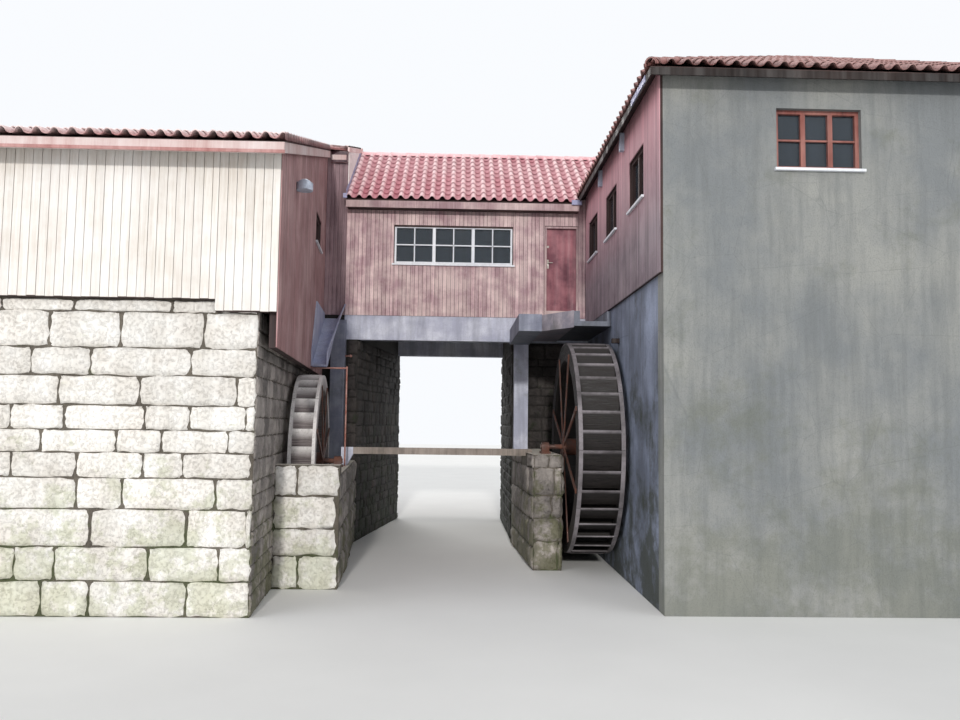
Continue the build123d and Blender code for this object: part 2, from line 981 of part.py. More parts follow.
left_post = side_prism(
    [
        (-left_post_depth, left_pier_top),
        (0, left_pier_top),
        (0, flume_bottom(0) - seat_gap),
        (-left_post_depth, flume_bottom(-left_post_depth) - seat_gap),
    ],
    left_post_x,
    left_post_x + post_width,
)
keep("left_post", left_post)
right_post = block(
    right_post_x,
    right_post_x + right_post_width,
    0,
    beam_width,
    right_pier_top,
    beam_bottom,
)
keep("right_post", right_post)

pier_left = left_pier_offset
pier_right = left_pier_offset + left_pier_width
left_pier = plan_prism(
    [
        (splay_x(pier_left, left_pier_front), left_pier_front),
        (splay_x(pier_right, left_pier_front), left_pier_front),
        (splay_x(pier_right, 0), 0),
        (splay_x(pier_left, 0), 0),
    ],
    0,
    left_pier_top,
)
pit_back = left_pier_front + pit_wall_thickness
pit_wall = plan_prism(
    [
        (splay_x(-left_base_setback, left_pier_front), left_pier_front),
        (splay_x(pier_right, left_pier_front), left_pier_front),
        (splay_x(pier_right, pit_back), pit_back),
        (splay_x(-left_base_setback, pit_back), pit_back),
    ],
    0,
    pit_wall_top,
)
footing_front = -left_post_depth - footing_margin
post_footing = plan_prism(
    [
        (splay_x(-left_base_setback, footing_front), footing_front),
        (splay_x(pier_left, footing_front), footing_front),
        (splay_x(pier_left, 0), 0),
        (splay_x(-left_base_setback, 0), 0),
    ],
    0,
    left_pier_top,
)
keep("left_pier", left_pier + pit_wall + post_footing)

pad_left = splay_x(pier_right, stream_beam_y) - stream_pad_inset
stream_beam_left = pad_left + stream_pad_length
beam_low_y = stream_beam_y - stream_beam_width / 2
beam_high_y = stream_beam_y + stream_beam_width / 2
beam_top = stream_beam_bottom + stream_beam_height
stream_beam = block(stream_beam_left, stream_beam_right, beam_low_y, beam_high_y, stream_beam_bottom, beam_top)
stream_pad = front_prism(
    [
        (pad_left, left_pier_top),
        (pad_left + stream_pad_length / 2, left_pier_top),
        (stream_beam_left, stream_beam_bottom),
        (stream_beam_left, beam_top),
        (pad_left, beam_top),
    ],
    beam_low_y,
    beam_high_y,
)
keep("stream_beam", stream_beam)
keep("stream_beam_pad", stream_pad)

right_pier = plan_prism(
    [
        (right_pier_left, right_pier_front),
        (right_pier_right, right_pier_front),
        (right_pier_right, right_abutment_front),
        (passage_right, right_abutment_front),
        (passage_right, 0),
    ],
    0,
    right_pier_top,
)
keep("right_pier", right_pier - stream_beam)

# Concrete over the right wheel
keep(
    "cantilever_beam",
    block(
        cantilever_left,
        cantilever_left + cantilever_width,
        -cantilever_reach,
        0,
        cantilever_bottom,
        cantilever_bottom + cantilever_depth,
    ),
)
landing_left = cantilever_left + cantilever_width
landing_right = landing_left + landing_width
landing_plan = [
    (landing_left, 0),
    (landing_left, -landing_near_reach),
    (landing_right, -landing_far_reach),
    (landing_right, 0),
]
keep("landing_slab", plan_prism(landing_plan, landing_bottom, landing_bottom + landing_depth))
launder = block(landing_right, base_face, -launder_reach, 0, launder_bottom, race_top)
keep("right_launder", launder - race)

# Left flume: a board trough along the wall that falls towards the wheel


def flume_section(y, bottom, top_width, bottom_width, height):
    """The cut face of the trough's floor and of its flared side, away from the wall."""
    left = splay_x(flume_offset, y)
    lean = (top_width - bottom_width) / height
    points = [
        (left, y, bottom),
        (left + bottom_width, y, bottom),
        (left + top_width, y, bottom + height),
        (left + top_width - flume_board, y, bottom + height),
        (left + bottom_width - flume_board + flume_board * lean, y, bottom + flume_board),
        (left, y, bottom + flume_board),
    ]
    return make_face(Polyline(*points, close=True))


def guard_section(y, top):
    """The cut face of the upright board that keeps the water off the wall."""
    left = splay_x(flume_offset, y)
    points = [
        (left, y, flume_bottom(y)),
        (left + flume_board, y, flume_bottom(y)),
        (left + flume_board, y, top),
        (left, y, top),
    ]
    return make_face(Polyline(*points, close=True))


guard_rear = guard_section(-seat_gap, flume_guard_top)
guard_peak = guard_section(flume_guard_front_y, flume_guard_top)
guard_front = guard_section(flume_front_y, flume_front_bottom + flume_front_height)
flume_guard = loft([guard_rear, guard_peak], ruled=True) + loft([guard_peak, guard_front], ruled=True)
rear_section = flume_section(
    -seat_gap, flume_bottom(-seat_gap), flume_rear_top_width, flume_rear_bottom_width, flume_rear_height
)
front_section = flume_section(
    flume_front_y, flume_front_bottom, flume_front_top_width, flume_front_bottom_width, flume_front_height
)
bearer_bottom = flume_bottom(rod_y) - flume_bearer_height
flume_bearer = block(
    splay_x(flume_offset, rod_y) + flume_board,
    splay_x(flume_offset, rod_y) + flume_front_bottom_width - flume_board,
    rod_y - flume_bearer_width / 2,
    rod_y + flume_bearer_width / 2,
    bearer_bottom,
    flume_bottom(rod_y),
)
flume_trough = loft([rear_section, front_section], ruled=True)
keep("left_flume", flume_trough + flume_guard + flume_bearer)

rod_height = bearer_bottom - rod_radius - seat_gap
rod_left = splay_x(-board_wall / 2, rod_y)
rod_right = splay_x(standing_rod_offset, rod_y)
cross_rod = rod_x(rod_radius, rod_left, rod_right + rod_radius, rod_y, rod_height) - side_wall
standing_height = rod_height + 2 * rod_radius - left_pier_top
standing_rod = Pos(rod_right, rod_y, left_pier_top + standing_height / 2) * Cylinder(rod_radius, standing_height)
short_left = left_post_x + post_width
short_rod = rod_x(rod_radius, short_left, short_left + short_rod_reach, -left_post_depth / 2, short_rod_height)
short_rod += Pos(short_left + short_rod_reach, -left_post_depth / 2, short_rod_height) * Sphere(2 * rod_radius)
keep("flume_rods", cross_rod + standing_rod, short_rod)

# Waterwheels


def ring_x(outer, inner, x_low, x_high):
    """A flat ring round the X axis."""
    return rod_x(outer, x_low, x_high, 0, 0) - rod_x(inner, x_low, x_high, 0, 0)


def sole_ring(corner_radius, count, width):
    """The boards behind the buckets: a ring with one flat for each bucket."""
    outer = RegularPolygon(corner_radius, count)
    flat_radius = corner_radius * cos(pi / count)
    inner_flat = flat_radius - sole_thickness
    inner = RegularPolygon(inner_flat / cos(pi / count), count)
    ring = extrude(outer - inner, amount=width)
    return Pos(-width / 2, 0, 0) * Rot(0, 90, 0) * Rot(0, 0, 90 + 180 / count) * ring


def bucket(angle, flat_radius, radius, pitch, width):
    """An elbow bucket: a riser square to the sole, then a board out to the rim."""
    outward = Vector(0, cos(angle), sin(angle))
    ahead = Vector(0, -sin(angle), cos(angle))
    root = outward * flat_radius
    knee = outward * (flat_radius + knee_share * (radius - flat_radius))
    lip_angle = angle - pitch
    lip = Vector(0, cos(lip_angle), sin(lip_angle)) * (radius - bucket_lip)
    run = (lip - knee).normalized()
    normal = Vector(0, -run.Z, run.Y)
    turn = radians(outward.get_angle(run))
    knee_ahead = knee + ahead * bucket_board + outward * bucket_board * tan(turn / 2)
    points = [root, knee, lip, lip + normal * bucket_board, knee_ahead, root + ahead * bucket_board]
    face = make_face(Polyline(*points, close=True))
    return Pos(-width / 2, 0, 0) * extrude(face, amount=width, dir=(1, 0, 0))


def waterwheel(radius, width, shroud_depth, shroud_thickness, count, shaft_low, shaft_high):
    """Rims, sole, buckets and iron spider of a wheel whose axle is the X axis."""
    half = width / 2
    inner_radius = radius - shroud_depth
    rims = [
        ring_x(radius, inner_radius, -half, -half + shroud_thickness),
        ring_x(radius, inner_radius, half - shroud_thickness, half),
    ]
    inside = width - 2 * shroud_thickness
    sole_corner = inner_radius + 2 * sole_thickness
    pitch = 2 * pi / count
    sole = sole_ring(sole_corner, count, inside)
    sole_flat = sole_corner * cos(pitch / 2)
    buckets = []
    for number in range(count):
        angle = number * pitch
        buckets.append(bucket(angle, sole_flat, radius, pitch, inside))
    hub_length = width + 2 * hub_overhang
    spider = Rot(0, 90, 0) * Cylinder(hub_radius, hub_length)
    spider += rod_x(shaft_radius, shaft_low, shaft_high, 0, 0)
    arm_reach = inner_radius + arm_share * shroud_depth
    for side in (-1, 1):
        face = side * (half + arm_thickness / 2)
        for number in range(arm_count):
            turn = Rot(360 * (number + 0.5) / arm_count, 0, 0)
            arm = Pos(face, 0, arm_reach / 2) * Box(arm_thickness, arm_width, arm_reach)
            spider += turn * arm
    return rims, sole, buckets, spider


def keep_wheel(name, place, parts):
    """Stores one wheel's nodes at its axle."""
    rims, sole, buckets, spider = parts
    keep(name + "_rims", *[place * rim for rim in rims])
    keep(name + "_sole", place * sole)
    keep(name + "_buckets", *[place * one for one in buckets])
    keep(name + "_spider", place * spider)


right_axle = Pos(right_wheel_x, right_wheel_y, right_axle_height)
right_shaft_end = base_face + stone_wall / 2 - right_wheel_x
keep_wheel(
    "right_wheel",
    right_axle,
    waterwheel(
        right_wheel_radius,
        right_wheel_width,
        right_shroud_depth,
        right_shroud_thickness,
        right_bucket_count,
        -right_bearing_offset - bearing_length / 2 - bearing_lip,
        right_shaft_end,
    ),
)
keep_wheel(
    "left_wheel",
    left_axle_place,
    waterwheel(
        left_wheel_radius,
        left_wheel_width,
        left_shroud_depth,
        left_shroud_thickness,
        left_bucket_count,
        left_wall_face - left_base_thickness / 2,
        left_bearing_offset + bearing_length / 2 + bearing_lip,
    ),
)


def pillow_block(x_centre, drop):
    """A bearing with its bore on the X axis and its foot at -drop."""
    low = x_centre - bearing_length / 2
    high = x_centre + bearing_length / 2
    housing = rod_x(bearing_cap, low, high, 0, 0)
    housing -= block(low, high, -bearing_cap, bearing_cap, -2 * bearing_cap, 0)
    housing += block(low, high, -bearing_cap, bearing_cap, -drop, 0)
    foot_low = low - bearing_lip
    foot_high = high + bearing_lip
    housing += block(foot_low, foot_high, -bearing_foot, bearing_foot, -drop, -drop + bearing_base)
    return housing - rod_x(shaft_radius + bearing_clearance, foot_low, foot_high, 0, 0)


def plate_bearing(face_x, side):
    """A round bearing plate bolted to a wall face at face_x."""
    low = min(face_x, face_x + side * wall_plate)
    plate = rod_x(wall_plate_radius, low, low + wall_plate, 0, 0)
    return plate - rod_x(shaft_radius + bearing_clearance, low, low + wall_plate, 0, 0)


keep(
    "wheel_bearings",
    right_axle * pillow_block(-right_bearing_offset, right_axle_height - right_pier_top),
    left_axle_place * pillow_block(left_bearing_offset, left_axle_height - left_pier_top),
    right_axle * plate_bearing(base_face - right_wheel_x, -1),
    left_axle_place * plate_bearing(left_wall_face, 1),
)

# Lamps: two boxes under the wing's eave and a round floodlight on the left wing
lamps = []
lamp_top = lamp_bottom + lamp_height
for start in lamp_starts:
    lamps.append(block(wing_left - lamp_size, wing_left, start, start + lamp_size, lamp_bottom, lamp_top))
flood_shoulder = flood_bottom + flood_skirt
flood_arm = rod_x(flood_arm_radius, 0, flood_reach, flood_along, flood_shoulder)
flood_axis = Pos(flood_reach, flood_along, 0)
flood_bell = flood_axis * Pos(0, 0, flood_bottom + flood_skirt / 2) * Cylinder(flood_radius, flood_skirt)
flood_bell += flood_axis * Pos(0, 0, flood_shoulder) * Sphere(flood_radius, arc_size1=0)
lamps.append(splay_place * (flood_arm + flood_bell))
keep("lamps", *lamps)

for name, solids in nodes.items():
    shape = solids[0] if len(solids) == 1 else Compound(children=solids)
    export_step(shape, f"parts/{name}.step")
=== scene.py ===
from math import cos, pi, radians, sin, tan

import bpy
import numpy as np
from mathutils import Matrix, Vector


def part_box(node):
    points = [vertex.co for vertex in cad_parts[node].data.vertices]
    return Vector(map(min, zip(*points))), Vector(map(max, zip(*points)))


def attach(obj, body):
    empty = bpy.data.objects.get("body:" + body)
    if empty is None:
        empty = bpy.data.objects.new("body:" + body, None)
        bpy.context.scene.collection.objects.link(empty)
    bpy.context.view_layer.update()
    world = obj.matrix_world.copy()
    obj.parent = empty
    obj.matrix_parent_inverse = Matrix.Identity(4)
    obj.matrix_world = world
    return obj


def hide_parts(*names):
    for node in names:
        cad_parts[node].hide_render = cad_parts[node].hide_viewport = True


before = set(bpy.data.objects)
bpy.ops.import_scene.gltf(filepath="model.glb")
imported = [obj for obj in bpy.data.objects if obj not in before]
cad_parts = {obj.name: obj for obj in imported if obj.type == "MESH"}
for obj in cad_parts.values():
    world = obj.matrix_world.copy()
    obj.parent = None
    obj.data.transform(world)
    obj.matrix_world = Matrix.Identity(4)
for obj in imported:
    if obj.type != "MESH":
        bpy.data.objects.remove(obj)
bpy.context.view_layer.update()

boxOf = {name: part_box(name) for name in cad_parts}
chance = np.random.default_rng(41)
toRight, toLeft, toBack, toFront = (1, 0, 0), (-1, 0, 0), (0, 1, 0), (0, -1, 0)
print("watermill: frame loaded,", len(boxOf), "nodes")

# Metres on the site grid: X from the middle of the view, Y back from the bridge's front face, Z up from the bed
bridge = {"left": -2.730, "right": 3.125, "back": 5.0, "low": 5.412, "high": 8.352, "boardsEnd": 3.104,
          "doorLeft": 2.100, "doorRight": 2.930, "doorTop": 7.690}
rightWing = {"front": -7.400, "low": 5.217, "high": 8.430}
leftWing = {"cornerX": -2.660, "frontY": -7.800, "splay": radians(4.35), "pitch": radians(17.5), "eaveTop": 6.955,
            "bed": 0.090, "eaveY": -8.200, "ridgeY": 2.500, "farX": -7.620, "stepX": -3.565, "returnX": -3.235,
            "abutmentX": -3.590, "verge": 0.100, "high": 6.984, "frontLow": 4.617, "stepLow": 4.439,
            "sideLow": 3.922, "sideLong": 7.822, "rearLow": 4.619, "underRoof": 0.008, "underWall": 0.012}
bridgeRoof = {"eaveTop": 8.285, "eaveY": -0.300, "ridgeY": 2.500, "pitch": radians(35), "left": -2.730, "bed": 0.120,
              "crest": 0.066}
wingRoof = {"eaveTop": 8.465, "left": 2.905, "right": 10.445, "front": -7.700, "back": 5.300, "pitch": radians(26),
            "bed": 0.120, "crest": 0.064}
# each window is (from, to, bottom, top) along its wall
windows = {
    "bridge": (-1.580, 1.325, 6.692, 7.644),
    "bridgeBack": (-1.325, 1.580, 6.692, 7.644),
    "side": [(end - 1.180, end, 6.730, 7.640) for end in (1.690, 3.920, 6.300)],
    "slit": (5.366, 6.596, 6.692, 7.357),
    "farSlit": (1.204, 2.434, 6.692, 7.357),
    "wing": (4.963, 6.315, 6.892, 7.858),
    "wingBack": (-7.377, -6.025, 6.892, 7.858),
    "wingEnds": [(start, start + 1.352, 6.892, 7.858) for start in (-5.200, 0.900)],
}
site = np.array([boxOf["bridge_front_wall"][0].x - bridge["left"], boxOf["bridge_front_wall"][0].y, 0.0])


def at(x, y, z):
    # a place on the site grid, in the part's own frame
    return site + np.array([x, y, z], dtype=float)


# Camera and lights

view = {"height": 2.85, "back": 20.0, "turnRight": 1.587, "tiltUp": 4.34, "roll": 0.745, "lens": 31.125, "sensor": 36}


def makeCamera():
    turn, tilt, roll = (radians(view[key]) for key in ("turnRight", "tiltUp", "roll"))
    ahead = Vector((sin(turn) * cos(tilt), cos(turn) * cos(tilt), sin(tilt)))
    right = Vector((cos(turn), -sin(turn), 0))
    up = right.cross(ahead)
    tiltedRight = right * cos(roll) + up * sin(roll)
    tiltedUp = up * cos(roll) - right * sin(roll)
    lens = bpy.data.cameras.new("camera")
    lens.lens = view["lens"]
    lens.sensor_width = view["sensor"]
    lens.clip_end = 500
    camera = bpy.data.objects.new("camera", lens)
    bpy.context.scene.collection.objects.link(camera)
    place = Matrix((tiltedRight, tiltedUp, -ahead)).transposed().to_4x4()
    place.translation = Vector(at(0, -view["back"], view["height"]))
    camera.matrix_world = place
    bpy.context.scene.camera = camera


lamps = {
    "key": {"from": (-0.2, -19.0, 6.0), "soft": 0.06, "strength": 1.7, "tint": (1.0, 0.97, 0.93)},
    "leftFill": {"from": (-14.0, -9.0, 9.0), "soft": 0.9, "strength": 0.90, "tint": (0.94, 0.96, 1.0)},
    "rightFill": {"from": (15.0, -9.0, 8.0), "soft": 0.9, "strength": 0.40, "tint": (0.94, 0.96, 1.0)},
    "back": {"from": (-5.0, 18.0, 11.0), "soft": 0.5, "strength": 1.3, "tint": (1.0, 0.99, 0.97)},
}
sky = {"strength": 0.50, "seen": 1.0, "colour": (0.95, 0.97, 1.0, 1)}


def makeLights():
    for name, lamp in lamps.items():
        light = bpy.data.lights.new(name, "SUN")
        light.angle = lamp["soft"]
        light.energy = lamp["strength"]
        light.color = lamp["tint"]
        holder = bpy.data.objects.new(name, light)
        bpy.context.scene.collection.objects.link(holder)
        holder.location = Vector(at(*lamp["from"]))
        holder.rotation_euler = (-Vector(lamp["from"])).to_track_quat("-Z", "Y").to_euler()
    world = bpy.data.worlds.new("studio")
    bpy.context.scene.world = world
    world.use_nodes = True
    tree = world.node_tree
    tree.nodes.clear()
    # the sky looks brighter to the camera, in a reflection and through glass than the light that it gives
    rays = put(tree, "LightPath").outputs
    seen = maths(tree, "MAXIMUM", rays["Is Camera Ray"], rays["Is Glossy Ray"])
    seen = maths(tree, "MAXIMUM", seen, rays["Is Transmission Ray"])
    strength = put(tree, "MapRange", {"Value": seen, "To Min": sky["strength"], "To Max": sky["seen"]}).outputs[0]
    glow = put(tree, "Background", {"Color": sky["colour"], "Strength": strength}).outputs[0]
    put(tree, "OutputWorld", {"Surface": glow})


# Nodes and groups that the materials share

def put(tree, kind, inputs=None, **settings):
    node = tree.nodes.new("ShaderNode" + kind)
    for key, value in settings.items():
        setattr(node, key, value)
    for key, value in (inputs or {}).items():
        if isinstance(value, bpy.types.NodeSocket):
            tree.links.new(value, node.inputs[key])
        else:
            node.inputs[key].default_value = value
    return node


def tint(red, green, blue):
    # a colour as a screen shows it, 0 to 255, made linear
    parts = [c / 255 / 12.92 if c <= 10 else ((c / 255 + 0.055) / 1.055) ** 2.4 for c in (red, green, blue)]
    return (*parts, 1.0)


def ready(plain, look):
    # a finish's own values over the usual ones of its kind, with its colours made linear
    return {key: tint(*value) if isinstance(value, tuple) else value for key, value in {**plain, **look}.items()}


def blend(tree, mask, low, high):
    return put(tree, "Mix", {0: mask, 6: low, 7: high}, data_type="RGBA", blend_type="MIX").outputs[2]


def maths(tree, operation, first, second):
    return put(tree, "Math", {0: first, 1: second}, operation=operation).outputs[0]


def spread(tree, value, fromLow, fromHigh, toLow=0.0, toHigh=1.0):
    inputs = {"Value": value, "From Min": fromLow, "From Max": fromHigh, "To Min": toLow, "To Max": toHigh}
    return put(tree, "MapRange", inputs).outputs[0]


def placeOf(tree):
    return put(tree, "TexCoord").outputs["Object"]


def axisOf(tree, vector, axis):
    return put(tree, "SeparateXYZ", {0: vector}).outputs[axis]


def numberOf(tree, name):
    return put(tree, "Attribute", attribute_name=name).outputs["Fac"]


def noise(tree, vector, scale, detail, rough=0.5):
    return put(tree, "TexNoise", {"Vector": vector, "Scale": scale, "Detail": detail, "Roughness": rough}).outputs[0]


def makeGroup(name, inputs, outputs):
    group = bpy.data.node_groups.new(name, "ShaderNodeTree")
    for label, value in inputs.items():
        socket = group.interface.new_socket(label, in_out="INPUT", socket_type="NodeSocketFloat")
        socket.default_value = value
    for label in outputs:
        group.interface.new_socket(label, in_out="OUTPUT", socket_type="NodeSocketFloat")
    entry = group.nodes.new("NodeGroupInput")
    leave = group.nodes.new("NodeGroupOutput")
    return group, entry, leave


def makeWeather():
    # soft patches, streaks that run down, and small specks, all from the piece's own place
    group, entry, leave = makeGroup(
        "weather", {"Patch scale": 0.8, "Streak scale": 5.0, "Speck scale": 30.0}, ("Patches", "Streaks", "Specks"))
    place = placeOf(group)
    patch = noise(group, place, entry.outputs[0], 6.0, 0.62)
    group.links.new(spread(group, patch, 0.4, 0.62), leave.inputs[0])
    drawn = put(group, "Mapping", {"Vector": place, "Scale": (1, 1, 0.09)}).outputs[0]
    streak = noise(group, drawn, entry.outputs[1], 5.0, 0.65)
    group.links.new(spread(group, streak, 0.42, 0.66), leave.inputs[1])
    speck = noise(group, place, entry.outputs[2], 4.0, 0.7)
    group.links.new(spread(group, speck, 0.5, 0.72), leave.inputs[2])
    return group


def makeFibre():
    # wood fibre along Z, moved on by each board's own number so that it breaks at the joints
    group, entry, leave = makeGroup("fibre", {"Scale": 22.0, "Shift": 0.0}, ("Fibre", "Coarse"))
    place = placeOf(group)
    shift = put(group, "CombineXYZ", {"X": entry.outputs[1], "Y": entry.outputs[1], "Z": entry.outputs[1]})
    moved = put(group, "VectorMath", {0: shift.outputs[0], 1: (17.0, 9.0, 13.0)}, operation="MULTIPLY")
    placed = put(group, "VectorMath", {0: place, 1: moved.outputs[0]}, operation="ADD")
    drawn = put(group, "Mapping", {"Vector": placed.outputs[0], "Scale": (1, 1, 0.05)}).outputs[0]
    fine = noise(group, drawn, entry.outputs[0], 7.0, 0.7)
    group.links.new(spread(group, fine, 0.35, 0.68), leave.inputs[0])
    coarse = noise(group, drawn, 6.0, 3.0, 0.6)
    group.links.new(spread(group, coarse, 0.38, 0.64), leave.inputs[1])
    return group


def startMaterial(name, **constants):
    material = bpy.data.materials.new(name)
    material.use_nodes = True
    tree = material.node_tree
    tree.nodes.clear()
    shader = put(tree, "BsdfPrincipled", constants)
    output = tree.nodes.new("ShaderNodeOutputMaterial")
    tree.links.new(shader.outputs[0], output.inputs[0])
    return material, tree, shader


def finishMaterial(tree, shader, colour, rough, height, depth):
    tree.links.new(colour, shader.inputs["Base Color"])
    tree.links.new(rough, shader.inputs["Roughness"])
    bump = put(tree, "Bump", {"Height": height, "Strength": 0.7, "Distance": depth})
    tree.links.new(bump.outputs[0], shader.inputs["Normal"])


weather = makeWeather()
fibre = makeFibre()


def weatherOf(tree, patch, streak, speck):
    scales = {"Patch scale": patch, "Streak scale": streak, "Speck scale": speck}
    return put(tree, "Group", scales, node_tree=weather).outputs


def toned(tree, colour, number, look):
    # each board's or stone's own number makes it lighter or darker
    value = spread(tree, number, 0.0, 1.0, look["toneLow"], look["toneHigh"])
    return put(tree, "HueSaturation", {"Color": colour, "Value": value}).outputs[0]


plainWood = {"grain": 22.0, "patch": 0.9, "streak": 5.0, "paleShare": 0.6, "dirtShare": 0.35, "toneLow": 0.82,
             "toneHigh": 1.14, "smooth": 0.72}


def woodMaterial(name, look):
    material, tree, shader = startMaterial(name)
    look = ready(plainWood, look)
    number = numberOf(tree, "tone")
    grain = put(tree, "Group", {"Scale": look["grain"], "Shift": number}, node_tree=fibre)
    marks = weatherOf(tree, look["patch"], look["streak"], 26.0)
    colour = blend(tree, grain.outputs[0], look["deep"], look["base"])
    pale = maths(tree, "MULTIPLY", marks["Patches"], look["paleShare"])
    colour = blend(tree, pale, colour, look["pale"])
    dirty = maths(tree, "MULTIPLY", marks["Streaks"], look["dirtShare"])
    colour = blend(tree, dirty, colour, look["dirt"])
    # a pinker band high on the wall, between two heights, is painted sunlight on an otherwise shaded wall
    if "top" in look:
        height = axisOf(tree, placeOf(tree), "Z")
        share = spread(tree, height, look["topFrom"], look["topTo"], 0.0, look["topShare"])
        colour = blend(tree, share, colour, look["top"])
    if "beside" in look:
        across = axisOf(tree, placeOf(tree), "X")
        share = spread(tree, across, look["besideFrom"], look["besideFrom"] + 0.01, 1.0, 0.0)
        colour = blend(tree, share, colour, look["beside"])
    colour = toned(tree, colour, number, look)
    rough = spread(tree, grain.outputs[1], 0.0, 1.0, look["smooth"], 0.95)
    finishMaterial(tree, shader, colour, rough, grain.outputs[0], 0.004)
    return material


plainStone = {"patch": 1.6, "speck": 34.0, "toneLow": 0.7, "toneHigh": 1.2, "mossTo": 3.2, "mossLow": 0.12,
              "mossShare": 0.85, "depth": 0.012}


def stoneMaterial(name, look):
    # moss is thickest low down, where the stone is damp
    material, tree, shader = startMaterial(name)
    look = ready(plainStone, look)
    marks = weatherOf(tree, look["patch"], 3.5, look["speck"])
    colour = blend(tree, marks["Specks"], look["base"], look["grit"])
    colour = blend(tree, marks["Patches"], colour, look["pale"])
    colour = toned(tree, colour, numberOf(tree, "tone"), look)
    moss = noise(tree, placeOf(tree), 2.3, 7.0, 0.72)
    height = axisOf(tree, placeOf(tree), "Z")
    damp = spread(tree, height, 0.2, look["mossTo"], look["mossLow"], -0.09)
    reach = maths(tree, "ADD", moss, damp)
    colour = blend(tree, spread(tree, reach, 0.53, 0.62, 0.0, look["mossShare"]), colour, look["moss"])
    dirty = maths(tree, "MULTIPLY", marks["Streaks"], 0.35)
    colour = blend(tree, dirty, colour, look["dirt"])
    if "top" in look:
        facing = axisOf(tree, put(tree, "NewGeometry").outputs["Normal"], "Z")
        colour = blend(tree, spread(tree, facing, 0.5, 0.9), colour, look["top"])
    rough = spread(tree, marks["Specks"], 0.0, 1.0, 0.78, 0.96)
    rubble = maths(tree, "ADD", marks["Specks"], moss)
    finishMaterial(tree, shader, colour, rough, rubble, look["depth"])
    return material


plainRender = {"patch": 0.7, "streak": 4.0, "speck": 45.0, "stainShare": 0.5, "dampTo": 4.0, "dampShare": 0.6,
               "crackScale": 0.9, "crackShare": 0.35, "depth": 0.004}


def renderMaterial(name, look):
    # troweled or cast faces: patches, lime, stains that run down from the top and hair cracks, and painted shade on
    # faces turned downwards
    material, tree, shader = startMaterial(name)
    look = ready(plainRender, look)
    marks = weatherOf(tree, look["patch"], look["streak"], look["speck"])
    place = placeOf(tree)
    colour = blend(tree, marks["Patches"], look["base"], look["pale"])
    stain = maths(tree, "MULTIPLY", marks["Streaks"], look["stainShare"])
    colour = blend(tree, stain, colour, look["stain"])
    speckled = maths(tree, "MULTIPLY", marks["Specks"], 0.4)
    colour = blend(tree, speckled, colour, look["grit"])
    height = axisOf(tree, place, "Z")
    blot = noise(tree, place, 1.1, 6.0, 0.7)
    low = spread(tree, height, 0.0, look["dampTo"], 0.14, -0.08)
    damp = maths(tree, "ADD", blot, low)
    colour = blend(tree, spread(tree, damp, 0.5, 0.66, 0.0, look["dampShare"]), colour, look["damp"])
    cells = put(tree, "TexVoronoi", {"Vector": place, "Scale": look["crackScale"]}, feature="DISTANCE_TO_EDGE")
    crack = spread(tree, cells.outputs["Distance"], 0.0, 0.006, look["crackShare"], 0.0)
    colour = blend(tree, crack, colour, look["stain"])
    # faces turned downwards take the stain colour: painted shade under things
    facing = axisOf(tree, put(tree, "NewGeometry").outputs["Normal"], "Z")
    colour = blend(tree, spread(tree, facing, -0.4, -0.9, 0.0, 0.7), colour, look["stain"])
    rough = spread(tree, marks["Specks"], 0.0, 1.0, 0.8, 0.95)
    relief = maths(tree, "ADD", marks["Specks"], marks["Patches"])
    finishMaterial(tree, shader, colour, rough, relief, look["depth"])
    return material


plainTile = {"lichenScale": 7.0, "bleachShare": 0.7, "patchShare": 0.45, "lichenShare": 0.6, "panShare": 0.45,
             "shadeShare": 0.7}


def tileMaterial(name, look):
    # clay: each tile has its own tone, crests are bleached, pans hold dirt and lichen, and the strip just below each
    # course's lower edge is darkened as a painted shadow of that edge
    material, tree, shader = startMaterial(name)
    look = ready(plainTile, look)
    marks = weatherOf(tree, 0.5, 6.0, look["lichenScale"])
    number = numberOf(tree, "tone")
    crest = numberOf(tree, "crest")
    colour = blend(tree, number, look["deep"], look["base"])
    bleached = maths(tree, "MULTIPLY", crest, look["bleachShare"])
    colour = blend(tree, bleached, colour, look["pale"])
    patches = maths(tree, "MULTIPLY", marks["Patches"], look["patchShare"])
    colour = blend(tree, patches, colour, look["pale"])
    lichen = maths(tree, "MULTIPLY", marks["Specks"], look["lichenShare"])
    colour = blend(tree, lichen, colour, look["lichen"])
    pan = spread(tree, crest, 0.0, 0.35, look["panShare"], 0.0)
    colour = blend(tree, pan, colour, look["dirt"])
    # painted shadow of the next course's lower edge, given the dirt colour
    along = numberOf(tree, "along")
    colour = blend(tree, spread(tree, along, 0.68, 0.84, 0.0, look["shadeShare"]), colour, look["dirt"])
    rough = spread(tree, marks["Specks"], 0.0, 1.0, 0.7, 0.92)
    fine = noise(tree, placeOf(tree), 60.0, 4.0)
    finishMaterial(tree, shader, colour, rough, fine, 0.003)
    return material


plainWheel = {"segments": 0, "mossShare": 0.35, "smooth": 0.45}


